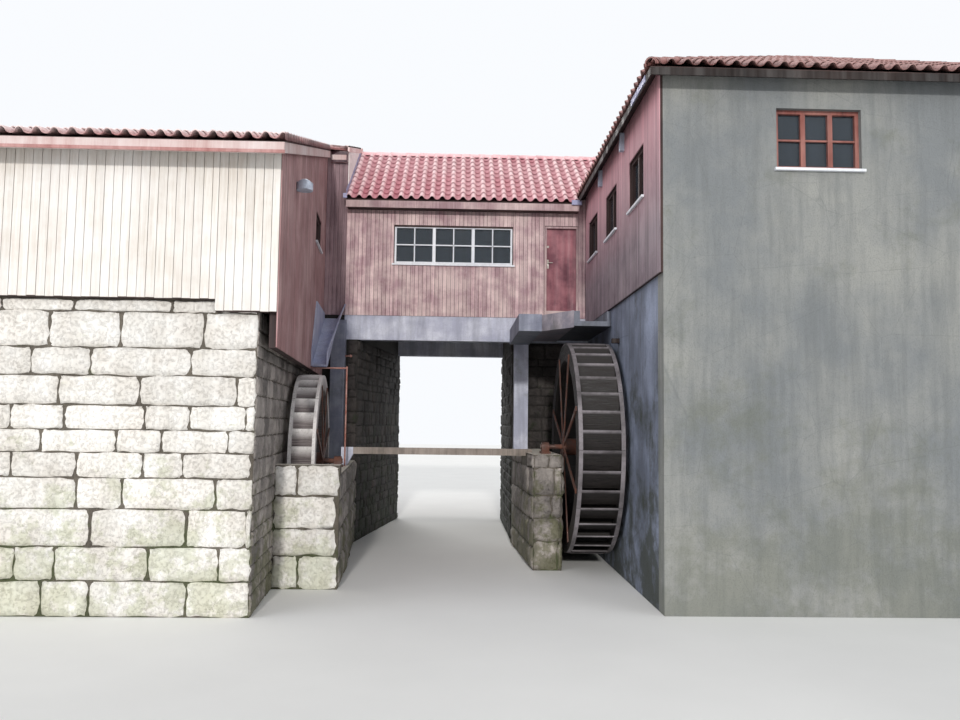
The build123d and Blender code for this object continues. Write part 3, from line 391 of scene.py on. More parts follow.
def wheelMaterial(name, look, wheel):
    # wood in painted light: nearly black where a wheel is in shade, and pale towards the rim, by the distance from the
    # axle, as a painted highlight; the fibres of a rim follow its curve, in segments with open joints, and those of the
    # boards run along the axle
    material, tree, shader = startMaterial(name)
    look = ready(plainWheel, look)
    place = placeOf(tree)
    moved = put(tree, "VectorMath", {0: place, 1: tuple(wheel["centre"])}, operation="SUBTRACT").outputs[0]
    turn = put(tree, "VectorRotate", {"Vector": moved, "Angle": -wheel["turned"]}, rotation_type="Z_AXIS").outputs[0]
    flat = put(tree, "VectorMath", {0: turn, 1: (0.0, 1.0, 1.0)}, operation="MULTIPLY").outputs[0]
    distance = put(tree, "VectorMath", {0: flat}, operation="LENGTH").outputs["Value"]
    marks = weatherOf(tree, 1.8, 7.0, 20.0)
    parts = put(tree, "SeparateXYZ", {0: turn}).outputs
    angle = maths(tree, "ARCTAN2", parts["Y"], parts["Z"])
    if look["segments"]:
        curved = put(tree, "CombineXYZ", {"X": angle, "Y": distance, "Z": parts["X"]}).outputs[0]
        drawn = put(tree, "Mapping", {"Vector": curved, "Scale": (2.0, 26.0, 26.0)}).outputs[0]
    else:
        drawn = put(tree, "Mapping", {"Vector": turn, "Scale": (1.2, 22.0, 22.0)}).outputs[0]
    grain = noise(tree, drawn, 2.6, 7.0, 0.7)
    fibres = spread(tree, grain, 0.36, 0.66)
    colour = blend(tree, fibres, look["deep"], look["base"])
    # painted highlight: the band towards the rim is made pale where light catches it
    rimHighlight = spread(tree, distance, wheel["radius"] - look["rimHighlightDepth"], wheel["radius"], 0.0, 1.0)
    patchy = spread(tree, marks["Patches"], 0.0, 1.0, look["rimHighlightLow"], 1.0)
    colour = blend(tree, maths(tree, "MULTIPLY", rimHighlight, patchy), colour, look["pale"])
    dirty = maths(tree, "MULTIPLY", marks["Specks"], look["mossShare"])
    colour = blend(tree, dirty, colour, look["moss"])
    relief = fibres
    if look["segments"]:
        share = maths(tree, "MULTIPLY", angle, look["segments"] / (2 * pi))
        fold = maths(tree, "PINGPONG", share, 0.5)
        joint = spread(tree, fold, 0.0, 0.006, 1.0, 0.0)
        colour = blend(tree, joint, colour, look["joint"])
        relief = maths(tree, "SUBTRACT", fibres, joint)
    rough = spread(tree, fibres, 0.0, 1.0, look["smooth"], 0.9)
    finishMaterial(tree, shader, colour, rough, relief, 0.004)
    return material


plainIron = {"smooth": 0.5, "metal": 0.6}


def ironMaterial(name, look):
    material, tree, shader = startMaterial(name)
    look = ready(plainIron, look)
    marks = weatherOf(tree, 6.0, 12.0, 60.0)
    colour = blend(tree, marks["Patches"], look["base"], look["rust"])
    colour = blend(tree, maths(tree, "MULTIPLY", marks["Specks"], 0.6), colour, look["dark"])
    rough = spread(tree, marks["Patches"], 0.0, 1.0, look["smooth"], 0.9)
    metal = spread(tree, marks["Patches"], 0.0, 1.0, look["metal"], 0.1)
    tree.links.new(metal, shader.inputs["Metallic"])
    finishMaterial(tree, shader, colour, rough, marks["Specks"], 0.002)
    return material


def glassMaterial(name):
    material, tree, shader = startMaterial(name, **{"Transmission Weight": 0.8, "IOR": 1.3})
    marks = weatherOf(tree, 1.4, 9.0, 50.0)
    dirty = maths(tree, "MULTIPLY", marks["Streaks"], 0.5)
    colour = blend(tree, dirty, tint(120, 132, 144), tint(96, 104, 112))
    rough = spread(tree, marks["Patches"], 0.0, 1.0, 0.02, 0.06)
    ripple = noise(tree, placeOf(tree), 2.2, 1.0)
    finishMaterial(tree, shader, colour, rough, ripple, 0.003)
    return material


finishes = {
    "bridgeBoards": woodMaterial("bridge boards", {
        "deep": (158, 126, 132), "base": (210, 180, 184), "pale": (246, 226, 220), "dirt": (138, 110, 118),
        "patch": 2.0, "dirtShare": 0.3, "toneLow": 0.86, "toneHigh": 1.12}),
    # the right wing's side boards: a grey shaded look below, and a pink band high up that is painted sunlight
    "sideBoards": woodMaterial("side boards", {
        "deep": (104, 90, 98), "base": (146, 130, 138), "pale": (176, 160, 166), "dirt": (86, 78, 84),
        "top": (228, 168, 176), "topFrom": 6.0, "topTo": 8.0, "topShare": 0.7, "toneLow": 0.86, "toneHigh": 1.12}),
    "leftSideBoards": woodMaterial("left side boards", {
        "deep": (132, 98, 98), "base": (186, 142, 142), "pale": (212, 180, 178), "dirt": (112, 86, 88),
        "paleShare": 0.5, "toneLow": 0.86, "toneHigh": 1.12}),
    # a darker copy of the bridge boards: painted shade in the corner beside the left wing
    "shadedReturnBoards": woodMaterial("return boards painted in shade", {
        "deep": (128, 106, 112), "base": (176, 148, 154), "pale": (206, 180, 182), "dirt": (104, 86, 92)}),
    # near-white boards on the left wing's front: painted sunlight, the glare of full sun
    "sunlitFrontBoards": woodMaterial("boards painted in full sun", {
        "deep": (216, 208, 198), "base": (240, 236, 230), "pale": (248, 246, 244), "dirt": (206, 192, 182),
        "paleShare": 0.7, "dirtShare": 0.25, "toneLow": 0.94, "toneHigh": 1.02}),
    # near-white boards over the bridge's roof: painted sun glare
    "glareWhiteBoards": woodMaterial("boards painted with sun glare", {
        "deep": (236, 230, 226), "base": (248, 244, 242), "pale": (252, 250, 248), "dirt": (226, 214, 208),
        "dirtShare": 0.2, "toneLow": 0.97, "toneHigh": 1.01}),
    "soffit": woodMaterial("soffit boards", {
        "deep": (50, 36, 36), "base": (78, 58, 56), "pale": (98, 76, 72), "dirt": (40, 32, 32)}),
    "floorBoards": woodMaterial("floor boards", {
        "deep": (92, 80, 70), "base": (126, 112, 98), "pale": (146, 132, 118), "dirt": (74, 66, 60)}),
    "redTrim": woodMaterial("red trim", {
        "deep": (110, 60, 54), "base": (158, 94, 84), "pale": (196, 140, 128), "dirt": (76, 46, 44),
        "paleShare": 0.5, "smooth": 0.55}),
    "wingFrames": woodMaterial("wing window frames", {
        "deep": (118, 64, 58), "base": (170, 100, 90), "pale": (206, 150, 138), "dirt": (80, 48, 46),
        "paleShare": 0.5, "smooth": 0.55, "beside": (66, 46, 44), "besideFrom": float(site[0]) + 3.6}),
    "edgeTrim": woodMaterial("pale red edge", {
        "deep": (170, 112, 108), "base": (204, 148, 144), "pale": (232, 196, 192), "dirt": (140, 84, 82),
        "paleShare": 0.5, "smooth": 0.6}),
    "plumTrim": woodMaterial("plum metal edge", {
        "deep": (54, 32, 40), "base": (82, 48, 60), "pale": (110, 74, 84), "dirt": (44, 28, 34),
        "paleShare": 0.5, "smooth": 0.5}),
    "rosyTrim": woodMaterial("bleached red trim", {
        "deep": (214, 180, 176), "base": (236, 214, 210), "pale": (248, 238, 236), "dirt": (196, 150, 146),
        "paleShare": 0.7, "smooth": 0.6}),
    "pinkTrim": woodMaterial("pink trim", {
        "deep": (156, 124, 130), "base": (204, 172, 176), "pale": (244, 222, 216), "dirt": (124, 96, 102),
        "patch": 1.2, "paleShare": 0.65, "smooth": 0.55}),
    "darkTrim": woodMaterial("dark trim", {
        "deep": (22, 14, 12), "base": (37, 25, 21), "pale": (58, 41, 36), "dirt": (18, 13, 12),
        "paleShare": 0.35, "smooth": 0.55}),
    "whitePaint": woodMaterial("white paint", {
        "deep": (214, 218, 226), "base": (238, 242, 248), "pale": (246, 248, 252), "dirt": (184, 186, 194),
        "dirtShare": 0.22, "smooth": 0.4, "toneLow": 0.97, "toneHigh": 1.02}),
    "doorPaint": woodMaterial("door paint", {
        "deep": (114, 66, 78), "base": (152, 96, 108), "pale": (204, 138, 146), "dirt": (86, 52, 62),
        "patch": 1.5, "paleShare": 0.7, "smooth": 0.45, "grain": 14.0}),
    "paleBeam": woodMaterial("weathered beam", {
        "deep": (112, 104, 98), "base": (164, 152, 142), "pale": (214, 200, 190), "dirt": (80, 74, 68)}),
    "stone": stoneMaterial("rubble stone", {
        "base": (130, 124, 120), "grit": (98, 93, 90), "pale": (184, 176, 170), "moss": (92, 94, 54),
        "dirt": (72, 67, 64), "mossShare": 0.65, "speck": 22.0, "depth": 0.02}),
    # a much paler copy of the rubble stone on faces towards the front: painted sunlight
    "sunlitStone": stoneMaterial("stone painted sunlit", {
        "base": (232, 227, 220), "grit": (204, 198, 190), "pale": (249, 247, 243), "moss": (158, 166, 116),
        "dirt": (182, 176, 164), "mossShare": 0.42, "toneLow": 0.89, "toneHigh": 1.06, "speck": 20.0, "depth": 0.02}),
    # near-black copies of stone and mortar for the passage under the bridge: painted shade
    "passageShadeStone": stoneMaterial("stone painted in passage shade", {
        "base": (49, 44, 43), "grit": (36, 32, 31), "pale": (74, 68, 65), "moss": (38, 45, 26),
        "dirt": (26, 24, 23), "mossTo": 4.5, "speck": 22.0, "depth": 0.02}),
    "mortar": stoneMaterial("mortar", {
        "base": (104, 96, 86), "grit": (78, 72, 64), "pale": (132, 124, 112), "moss": (70, 78, 46),
        "dirt": (58, 54, 48), "top": (206, 200, 188)}),
    "passageShadeMortar": stoneMaterial("mortar painted in passage shade", {
        "base": (38, 35, 32), "grit": (28, 25, 24), "pale": (52, 48, 43), "moss": (32, 37, 21),
        "dirt": (22, 20, 19), "top": (132, 124, 112)}),
    "plaster": renderMaterial("stained plaster", {
        "base": (120, 124, 126), "pale": (146, 147, 143), "stain": (98, 102, 103), "grit": (108, 111, 112),
        "damp": (96, 100, 84), "dampTo": 4.5, "stainShare": 0.4, "patch": 0.45, "streak": 7.0, "dampShare": 0.4}),
    "baseRender": renderMaterial("base render", {
        "base": (116, 124, 142), "pale": (162, 172, 196), "stain": (72, 77, 84), "grit": (98, 103, 112),
        "damp": (58, 62, 50), "dampTo": 5.0, "dampShare": 0.85}),
    "concrete": renderMaterial("cast concrete", {
        "base": (182, 185, 204), "pale": (220, 223, 236), "stain": (126, 129, 142), "grit": (148, 150, 162),
        "damp": (112, 116, 104), "dampTo": 2.5, "crackShare": 0.2, "patch": 1.6}),
    "shadedConcrete": renderMaterial("cantilever concrete", {
        "base": (132, 136, 154), "pale": (164, 168, 184), "stain": (88, 92, 104), "grit": (112, 116, 130),
        "damp": (96, 100, 92), "dampTo": 2.5, "crackShare": 0.2, "patch": 1.6}),
    "pinkConcrete": renderMaterial("landing concrete", {
        "base": (146, 142, 154), "pale": (190, 180, 188), "stain": (84, 80, 90), "grit": (122, 118, 128),
        "damp": (100, 100, 92), "crackShare": 0.2, "patch": 1.8}),
    "launderConcrete": renderMaterial("launder concrete", {
        "base": (98, 102, 112), "pale": (128, 132, 144), "stain": (62, 64, 72), "grit": (80, 84, 92),
        "damp": (76, 80, 70), "crackShare": 0.2, "patch": 1.6}),
    "bridgeTiles": tileMaterial("bridge tiles", {
        "deep": (204, 128, 138), "base": (236, 170, 178), "pale": (250, 226, 226), "lichen": (144, 108, 118),
        "dirt": (150, 88, 100), "lichenShare": 0.45}),
    # darker tiles with more lichen: the darker tone is partly the tiles' own and partly painted shade of the trees over
    # this roof
    "shadedWingTiles": tileMaterial("wing tiles with painted tree shade", {
        "deep": (112, 66, 64), "base": (150, 98, 94), "pale": (190, 154, 150), "lichen": (74, 62, 57),
        "dirt": (70, 42, 38), "lichenShare": 0.75}),
    "leftTiles": tileMaterial("left tiles", {
        "deep": (192, 122, 122), "base": (232, 172, 170), "pale": (250, 236, 234), "lichen": (138, 102, 102),
        "dirt": (128, 82, 84), "bleachShare": 0.85}),
    "iron": ironMaterial("rusty iron", {"base": (92, 72, 66), "rust": (112, 72, 58), "dark": (48, 36, 34)}),
    "rodIron": ironMaterial("bleached rods", {
        "base": (188, 150, 142), "rust": (158, 104, 92), "dark": (96, 62, 56), "metal": 0.3}),
    "brass": ironMaterial("handle metal", {
        "base": (214, 210, 204), "rust": (168, 158, 146), "dark": (110, 104, 98), "smooth": 0.55, "metal": 0.4}),
    "lead": ironMaterial("lead flashing", {
        "base": (146, 148, 182), "rust": (176, 178, 206), "dark": (104, 104, 128), "smooth": 0.45, "metal": 0.2}),
    "palePaint": ironMaterial("pale lamp paint", {
        "base": (196, 206, 222), "rust": (176, 184, 200), "dark": (120, 126, 140), "smooth": 0.35, "metal": 0.1}),
    "glass": glassMaterial("window glass"),
}
print("watermill: materials made")


# Meshes from whole arrays

def meshPiece(name, points, faces, finish, slot, body="root", smooth=False, **values):
    # a table of corners and a table of four-cornered faces make one object; values hold one number per corner
    corners = np.ascontiguousarray(np.reshape(points, (-1, 3)), dtype=np.float32)
    quads = np.ascontiguousarray(np.reshape(faces, (-1, 4)), dtype=np.int32)
    mesh = bpy.data.meshes.new(name)
    mesh.vertices.add(len(corners))
    mesh.vertices.foreach_set("co", corners.ravel())
    mesh.loops.add(quads.size)
    mesh.loops.foreach_set("vertex_index", quads.ravel())
    mesh.polygons.add(len(quads))
    mesh.polygons.foreach_set("loop_start", np.arange(0, quads.size, 4, dtype=np.int32))
    mesh.update(calc_edges=True)
    mesh.polygons.foreach_set("use_smooth", np.full(len(quads), smooth))
    for label, numbers in values.items():
        field = mesh.attributes.new(label, "FLOAT", "POINT")
        field.data.foreach_set("value", np.ascontiguousarray(np.ravel(numbers), dtype=np.float32))
    mesh.materials.append(finishes[finish])
    piece = bpy.data.objects.new(name, mesh)
    bpy.context.scene.collection.objects.link(piece)
    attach(piece, body)
    return piece


def blocksOnWall(corner, across, up, cells, proud, chamfer, sunk=0.002):
    # a block is three four-cornered outlines: one on the wall, the same one carried out to the shoulder, and the
    # front one drawn in by the chamfer; nine faces join them
    across, up = np.array(across, float), np.array(up, float)
    out = np.cross(across, up)
    left, right, lowLeft, lowRight, highLeft, highRight = np.asarray(cells, float).T
    count = len(left)
    proud = np.broadcast_to(proud, count)
    u = np.stack([left, right, right, left], 1)
    w = np.stack([lowLeft, lowRight, highRight, highLeft], 1)
    inU, inW = chamfer * np.array([1, -1, -1, 1]), chamfer * np.array([1, 1, -1, -1])
    rings = [(u, w, np.full((count, 4), -sunk)),
             (u, w, np.repeat((proud - chamfer)[:, None], 4, 1)),
             (u + inU, w + inW, np.repeat(proud[:, None], 4, 1))]
    points = np.stack([corner + a[..., None] * across + b[..., None] * up + c[..., None] * out for a, b, c in rings], 1)
    sides = [[k + j, k + (j + 1) % 4, k + 4 + (j + 1) % 4, k + 4 + j] for k in (0, 4) for j in range(4)]
    faces = np.arange(count)[:, None, None] * 12 + np.array([[8, 9, 10, 11]] + sides)
    chance.random((2, count, 4))  # no piece uses these, but without them every later draw would change
    tone = np.repeat(chance.random(count), 12)
    return points.reshape(-1, 3), faces.reshape(-1, 4), tone


def joined(parts):
    # several tables of corners, faces and tones as one, each part's faces counted on from the last
    points, faces, tones, used = [], [], [], 0
    for corner, quads, tone in parts:
        points.append(corner)
        faces.append(quads + used)
        tones.append(tone)
        used += len(corner)
    return np.concatenate(points), np.concatenate(faces), np.concatenate(tones)


def boardCells(start, stop, low, high, pitch, gap, holes=()):
    # upright boards side by side; a hole is (from, to, bottom, top) and cuts the boards that it meets
    marks = set(np.round(np.arange(start, stop, pitch), 4)) | {stop}
    marks |= {edge for hole in holes for edge in hole[:2]}
    marks = sorted(mark for mark in marks if start <= mark <= stop)
    cells = []
    for left, right in zip(marks, marks[1:]):
        if right - left < 3 * gap:
            continue
        a, b = left + gap / 2, right - gap / 2
        cut = [hole for hole in holes if hole[0] < (left + right) / 2 < hole[1]]
        floors = [(low(a), low(b))] + [(hole[3], hole[3]) for hole in cut]
        roofs = [(hole[2], hole[2]) for hole in cut] + [(high(a), high(b))]
        for bottom, top in zip(floors, roofs):
            if top[0] - bottom[0] > cladding["shortest"]:
                cells.append((a, b, *bottom, *top))
    return cells


def stoneCells(start, stop, low, high, course, length, gap, holes=()):
    # courses of uneven height, each cut into stones of uneven length; stones that meet a hole are left out
    cells = []
    level = low
    while level < high - 0.05:
        top = level + chance.uniform(*course)
        if high - top < course[0] * 0.6:
            top = high
        x = start - chance.uniform(0, length[0])
        while x < stop:
            end = x + chance.uniform(*length)
            a, b = max(x, start), min(end, stop)
            middle = ((a + b) / 2, (level + top) / 2)
            inHole = any(h[0] < middle[0] < h[1] and h[2] < middle[1] < h[3] for h in holes)
            if b - a > 0.07 and not inHole:
                cells.append((a + gap / 2, b - gap / 2, level + gap / 2, top - gap / 2))
            x = end
        level = top
    return cells


# Board cladding on the timber walls

cladding = {"pitch": 0.098, "wide": 0.132, "gap": 0.007, "thick": 0.018, "thickUneven": 0.002, "endUneven": 0.014,
            "chamfer": 0.003, "shortest": 0.02}
leftWing["slope"] = tan(leftWing["pitch"])
splayAcross = np.array([-sin(leftWing["splay"]), cos(leftWing["splay"]), 0])
splayOut = np.array([cos(leftWing["splay"]), sin(leftWing["splay"]), 0])
splayCorner = at(leftWing["cornerX"], leftWing["frontY"], 0)


def splayX(offset, y):
    # X of a line parallel to the splayed wall, on the site grid
    return leftWing["cornerX"] + offset / cos(leftWing["splay"]) - (y - leftWing["frontY"]) * tan(leftWing["splay"])


def leftUnder(y):
    # height of the left roof's underside at a depth on the site grid
    w = leftWing
    return w["eaveTop"] - w["bed"] + (np.minimum(y, 2 * w["ridgeY"] - y) - w["eaveY"]) * w["slope"]


def level(height):
    return lambda along: height


def clad(name, finish, corner, across, start, stop, low, high, holes=(), pitch=cladding["pitch"], uneven=0.0):
    # the lower end of each board may be a little higher than the next one's
    cells = np.array(boardCells(start, stop, low, high, pitch, cladding["gap"], holes))
    if uneven:
        cells[:, 2:4] += chance.uniform(0.0, uneven, len(cells))[:, None]
    thick = cladding["thick"] + chance.uniform(-cladding["thickUneven"], cladding["thickUneven"], len(cells))
    points, faces, tone = blocksOnWall(corner, across, (0, 0, 1), cells, thick, cladding["chamfer"])
    meshPiece(name, points, faces, finish, "boards", tone=tone)


def cladBridge():
    b = bridge
    front, low, high = at(0, 0, 0), level(b["low"]), level(b["high"])
    clad("bridge_front_boards", "bridgeBoards", front, toRight, b["left"], b["doorLeft"], low, high,
         [windows["bridge"]])
    clad("bridge_door_side_boards", "bridgeBoards", front, toRight, b["doorRight"], b["boardsEnd"], low, high)
    clad("bridge_over_door_boards", "bridgeBoards", front, toRight, b["doorLeft"], b["doorRight"], level(b["doorTop"]),
         high)
    clad("bridge_back_boards", "bridgeBoards", at(0, b["back"], 0), toLeft, -b["right"], -b["left"], low, high,
         [windows["bridgeBack"]])


def cladRightWing():
    w = rightWing
    clad("right_side_boards", "sideBoards", at(bridge["right"], 0, 0), toFront, 0.0, -w["front"], level(w["low"]),
         level(w["high"]), windows["side"])


def cladLeftWing():
    # the boards over the bridge's roof start at its slope, and the others end at the left roof's underside
    w, r, back, left = leftWing, bridgeRoof, bridge["back"], bridge["left"]
    front, rear, high = at(0, w["frontY"], 0), at(0, back, 0), level(w["high"])
    rearLow, rearHigh = level(w["rearLow"]), level(leftUnder(back) - w["underWall"])
    ragged = ((), cladding["wide"], cladding["endUneven"])
    clad("left_front_boards", "sunlitFrontBoards", front, toRight, w["farX"], w["stepX"], level(w["frontLow"]), high,
         *ragged)
    clad("left_front_step_boards", "sunlitFrontBoards", front, toRight, w["stepX"], w["cornerX"], level(w["stepLow"]),
         high, *ragged)
    clad("left_side_boards", "leftSideBoards", splayCorner, splayAcross, 0.0, w["sideLong"], level(w["sideLow"]),
         lambda s: leftUnder(w["frontY"] + s * cos(w["splay"])) - w["underRoof"], [windows["slit"]])
    clad("left_return_boards", "shadedReturnBoards", at(0, 0, 0), toRight, w["returnX"], left, level(bridge["low"]),
         level(leftUnder(0) - w["underWall"]))
    clad("left_far_boards", "leftSideBoards", at(w["farX"], 0, 0), toFront, -back, -w["frontY"], rearLow,
         lambda s: leftUnder(-s) - w["underRoof"], [windows["farSlit"]])
    clad("left_back_boards", "leftSideBoards", rear, toLeft, -w["abutmentX"], -w["farX"], rearLow, rearHigh)
    clad("left_back_step_boards", "leftSideBoards", rear, toLeft, -left, -w["abutmentX"], level(bridge["low"]),
         rearHigh)
    clad("left_upper_boards", "glareWhiteBoards", at(left, 0, 0), toBack, 0.0, back,
         lambda s: r["eaveTop"] + (min(s, back - s) - r["eaveY"]) * tan(r["pitch"]),
         lambda s: leftUnder(s) - w["underRoof"])


cladBridge()
cladRightWing()
cladLeftWing()
print("watermill: boards")


# Roofs: decks, tiles course by course, and half-round caps

tile = {"pitch": 0.250, "gauge": 0.345, "lap": 0.060, "thick": 0.014, "lift": 0.030, "crest": 0.54, "dip": 0.022,
        "reach": 0.055, "power": 0.75, "startUneven": 0.005, "liftUneven": 0.003, "clear": 0.001, "least": 1e-6}
tileU = np.concatenate([np.linspace(0, tile["crest"], 8), np.linspace(tile["crest"], 1, 4)[1:]])
onCrest = np.clip(tileU / tile["crest"], 0, 1)
inPan = np.clip((tileU - tile["crest"]) / (1 - tile["crest"]), 0, 1)
crestShape, panShape = np.sin(onCrest * pi).clip(0) ** tile["power"], np.sin(inPan * pi)
deckThick = 0.010


def tileDrop(bed, pitch):
    # how far below the roof's top face the pans lie, square to the slope: the bed less the deck and the tile
    return (bed - deckThick) * cos(pitch) - tile["thick"] - tile["dip"] - tile["clear"]


def tileSlope(eave, across, rise, length, width, low, high, roof, keep=None):
    # a tile is a crest of half a sine wave, raised to a power below one, and a shallow pan, carried up the slope; each
    # course rests on the one below, so its lower end is lifted; columns are cut where the slope's own edges, low(v)
    # and high(v), pass, and faces that the cut leaves without area go
    across, rise = np.array(across, float), np.array(rise, float)
    out = np.cross(across, rise)
    columns, courses = int(np.ceil(width / tile["pitch"])), int(np.ceil(length / tile["gauge"]))
    k, j = np.meshgrid(np.arange(columns), np.arange(courses))
    k, j = k.ravel(), j.ravel()
    count, m = len(k), len(tileU)
    start = j * tile["gauge"] - tile["reach"] + chance.uniform(-tile["startUneven"], tile["startUneven"], count)
    profile = roof["crest"] * crestShape - tile["dip"] * panShape
    ends = np.stack([start, np.minimum(start + tile["gauge"] + tile["lap"], length)], 1)
    u = (k[:, None] + tileU) * tile["pitch"]
    uneven = chance.uniform(-tile["liftUneven"], tile["liftUneven"], count)
    lift = np.stack([tile["lift"] + uneven, np.zeros(count)], 1)
    layers = []
    for row, thick in ((0, 0), (1, 0), (0, 1), (0, 0), (0, 1), (1, 1)):
        v = np.broadcast_to(ends[:, row][:, None], u.shape)
        h = profile + lift[:, row][:, None] - thick * tile["thick"] - roof["drop"]
        clipped = np.clip(u, low(v), high(v))
        layers.append(eave + clipped[..., None] * across + v[..., None] * rise + h[..., None] * out)
    points = np.stack(layers, 1)
    i = np.arange(m - 1)
    strip = lambda a, b: np.stack([a * m + i, a * m + i + 1, b * m + i + 1, b * m + i], 1)
    shape = np.concatenate([strip(0, 1), strip(2, 3), strip(5, 4)])
    faces = (np.arange(count)[:, None, None] * 6 * m + shape).reshape(-1, 4)
    flat = points.reshape(-1, 3)
    diagonals = flat[faces[:, 2]] - flat[faces[:, 0]], flat[faces[:, 3]] - flat[faces[:, 1]]
    wanted = np.linalg.norm(np.cross(*diagonals), axis=1) > tile["least"]
    if keep is not None:
        wanted &= keep(flat[faces].mean(1))
    faces = faces[wanted]
    used, faces = np.unique(faces, return_inverse=True)
    tone = np.repeat(chance.random(count), 6 * m)
    crest = np.tile(crestShape, 6 * count)
    along = np.tile(np.repeat([0.0, 1.0, 0.0, 0.0, 0.0, 1.0], m), count)
    return flat[used], faces.reshape(-1, 4), np.stack([tone[used], crest[used], along[used]], 1)


cap = {"length": 0.40, "radius": 0.105, "thick": 0.018, "taper": 0.14, "over": 0.04, "uneven": 0.003, "sunk": 0.075,
       "leftSunk": 0.05}


def capRow(start, end):
    # half-round caps end to end: an arc of 204 degrees carried along the line, wider at its lower end
    start, end = np.array(start, float), np.array(end, float)
    along = end - start
    length = np.linalg.norm(along)
    along /= length
    side = np.cross(along, (0, 0, 1))
    side /= np.linalg.norm(side)
    above = np.cross(side, along)
    count = max(1, round(length / cap["length"]))
    turns = np.radians(np.linspace(-12, 192, 9))
    arc = np.cos(turns)[:, None] * side + np.sin(turns)[:, None] * above
    n = len(turns)
    begin = np.arange(count) * length / count
    layers = []
    for row, thick in ((0, 0), (1, 0), (0, 1), (0, 0)):
        s = begin + (length / count + cap["over"]) * row
        uneven = chance.uniform(-cap["uneven"], cap["uneven"], count)
        r = cap["radius"] * (1.0 - cap["taper"] * row) - thick * cap["thick"] + uneven
        layers.append(start + s[:, None, None] * along + r[:, None, None] * arc)
    points = np.stack(layers, 1)
    i = np.arange(n - 1)
    strip = lambda a, b: np.stack([a * n + i, b * n + i, b * n + i + 1, a * n + i + 1], 1)
    shape = np.concatenate([strip(0, 1), strip(2, 3)])
    faces = np.arange(count)[:, None, None] * 4 * n + shape
    tone = np.repeat(chance.random(count), 4 * n)
    crest = np.tile(np.sin(np.clip(turns, 0, pi)) * 0.8 + 0.2, 4 * count)
    return points.reshape(-1, 3), faces.reshape(-1, 4), np.stack([tone, crest, np.zeros(len(tone))], 1)


def deck(name, outlines):
    # each outline of four corners on the underside is carried up by the thickness; six faces close it
    low = np.array(outlines, float)
    high = low + np.array([0, 0, deckThick])
    points = np.concatenate([low, high], 1)
    shape = np.array([[3, 2, 1, 0], [4, 5, 6, 7], [0, 1, 5, 4], [1, 2, 6, 5], [2, 3, 7, 6], [3, 0, 4, 7]])
    faces = np.arange(len(low))[:, None, None] * 8 + shape
    return meshPiece(name, points, faces, "soffit", "tiles", tone=np.zeros(len(low) * 8))


def roofPiece(name, finish, parts):
    points, faces, numbers = joined(parts)
    values = {"tone": numbers[:, 0], "crest": numbers[:, 1], "along": numbers[:, 2]}
    return meshPiece(name, points, faces, finish, "tiles", smooth=True, **values)


def flatValue(value):
    return lambda v: np.full(v.shape, float(value))


bridgeRoof["drop"] = tileDrop(bridgeRoof["bed"], bridgeRoof["pitch"])
wingRoof["drop"] = tileDrop(wingRoof["bed"], wingRoof["pitch"])


def bridgeRoofPieces():
    r, w = bridgeRoof, wingRoof
    run = r["ridgeY"] - r["eaveY"]
    length = run / cos(r["pitch"])
    ridgeTop = r["eaveTop"] + run * tan(r["pitch"])
    valleyX = w["left"] + (ridgeTop - w["eaveTop"]) / tan(w["pitch"])
    width = valleyX - r["left"]

    def valley(v):
        # how far the courses run before they meet the wing's slope
        height = r["eaveTop"] + v * sin(r["pitch"])
        return w["left"] - r["left"] + np.maximum(0, height - w["eaveTop"]) / tan(w["pitch"])

    fall, climb = cos(r["pitch"]), sin(r["pitch"])
    front = tileSlope(at(r["left"], r["eaveY"], r["eaveTop"]), toRight, (0, fall, climb), length, width,
                      flatValue(0), valley, r)
    backEave = at(valleyX, 2 * r["ridgeY"] - r["eaveY"], r["eaveTop"])
    back = tileSlope(backEave, toLeft, (0, -fall, climb), length, width,
                     lambda v: width - valley(v), flatValue(width), r)
    capLevel = ridgeTop - cap["sunk"]
    ridge = capRow(at(r["left"] + 0.03, r["ridgeY"], capLevel), at(valleyX - 0.05, r["ridgeY"], capLevel))
    tiles = roofPiece("bridge_roof_tiles", "bridgeTiles", [front, back, ridge])
    under = r["eaveTop"] - r["bed"]
    slope = tan(r["pitch"])
    meet = r["eaveY"] + (w["eaveTop"] - r["eaveTop"]) / slope
    outlines = []
    rows = [(r["eaveY"], w["left"]), (meet, w["left"]), (r["ridgeY"], valleyX)]
    for isBack in (False, True):
        for (y0, end0), (y1, end1) in zip(rows, rows[1:]):
            spots = [(r["left"], y0), (end0, y0), (end1, y1), (r["left"], y1)]
            if isBack:
                spots = [(px, 2 * r["ridgeY"] - py) for px, py in spots][::-1]
            rises = [(min(py, 2 * r["ridgeY"] - py) - r["eaveY"]) * slope for px, py in spots]
            outlines.append([at(px, py, under + rise) for (px, py), rise in zip(spots, rises)])
    boards = deck("bridge_roof_deck", outlines)
    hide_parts("bridge_roof")
    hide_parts("bridge_roof")


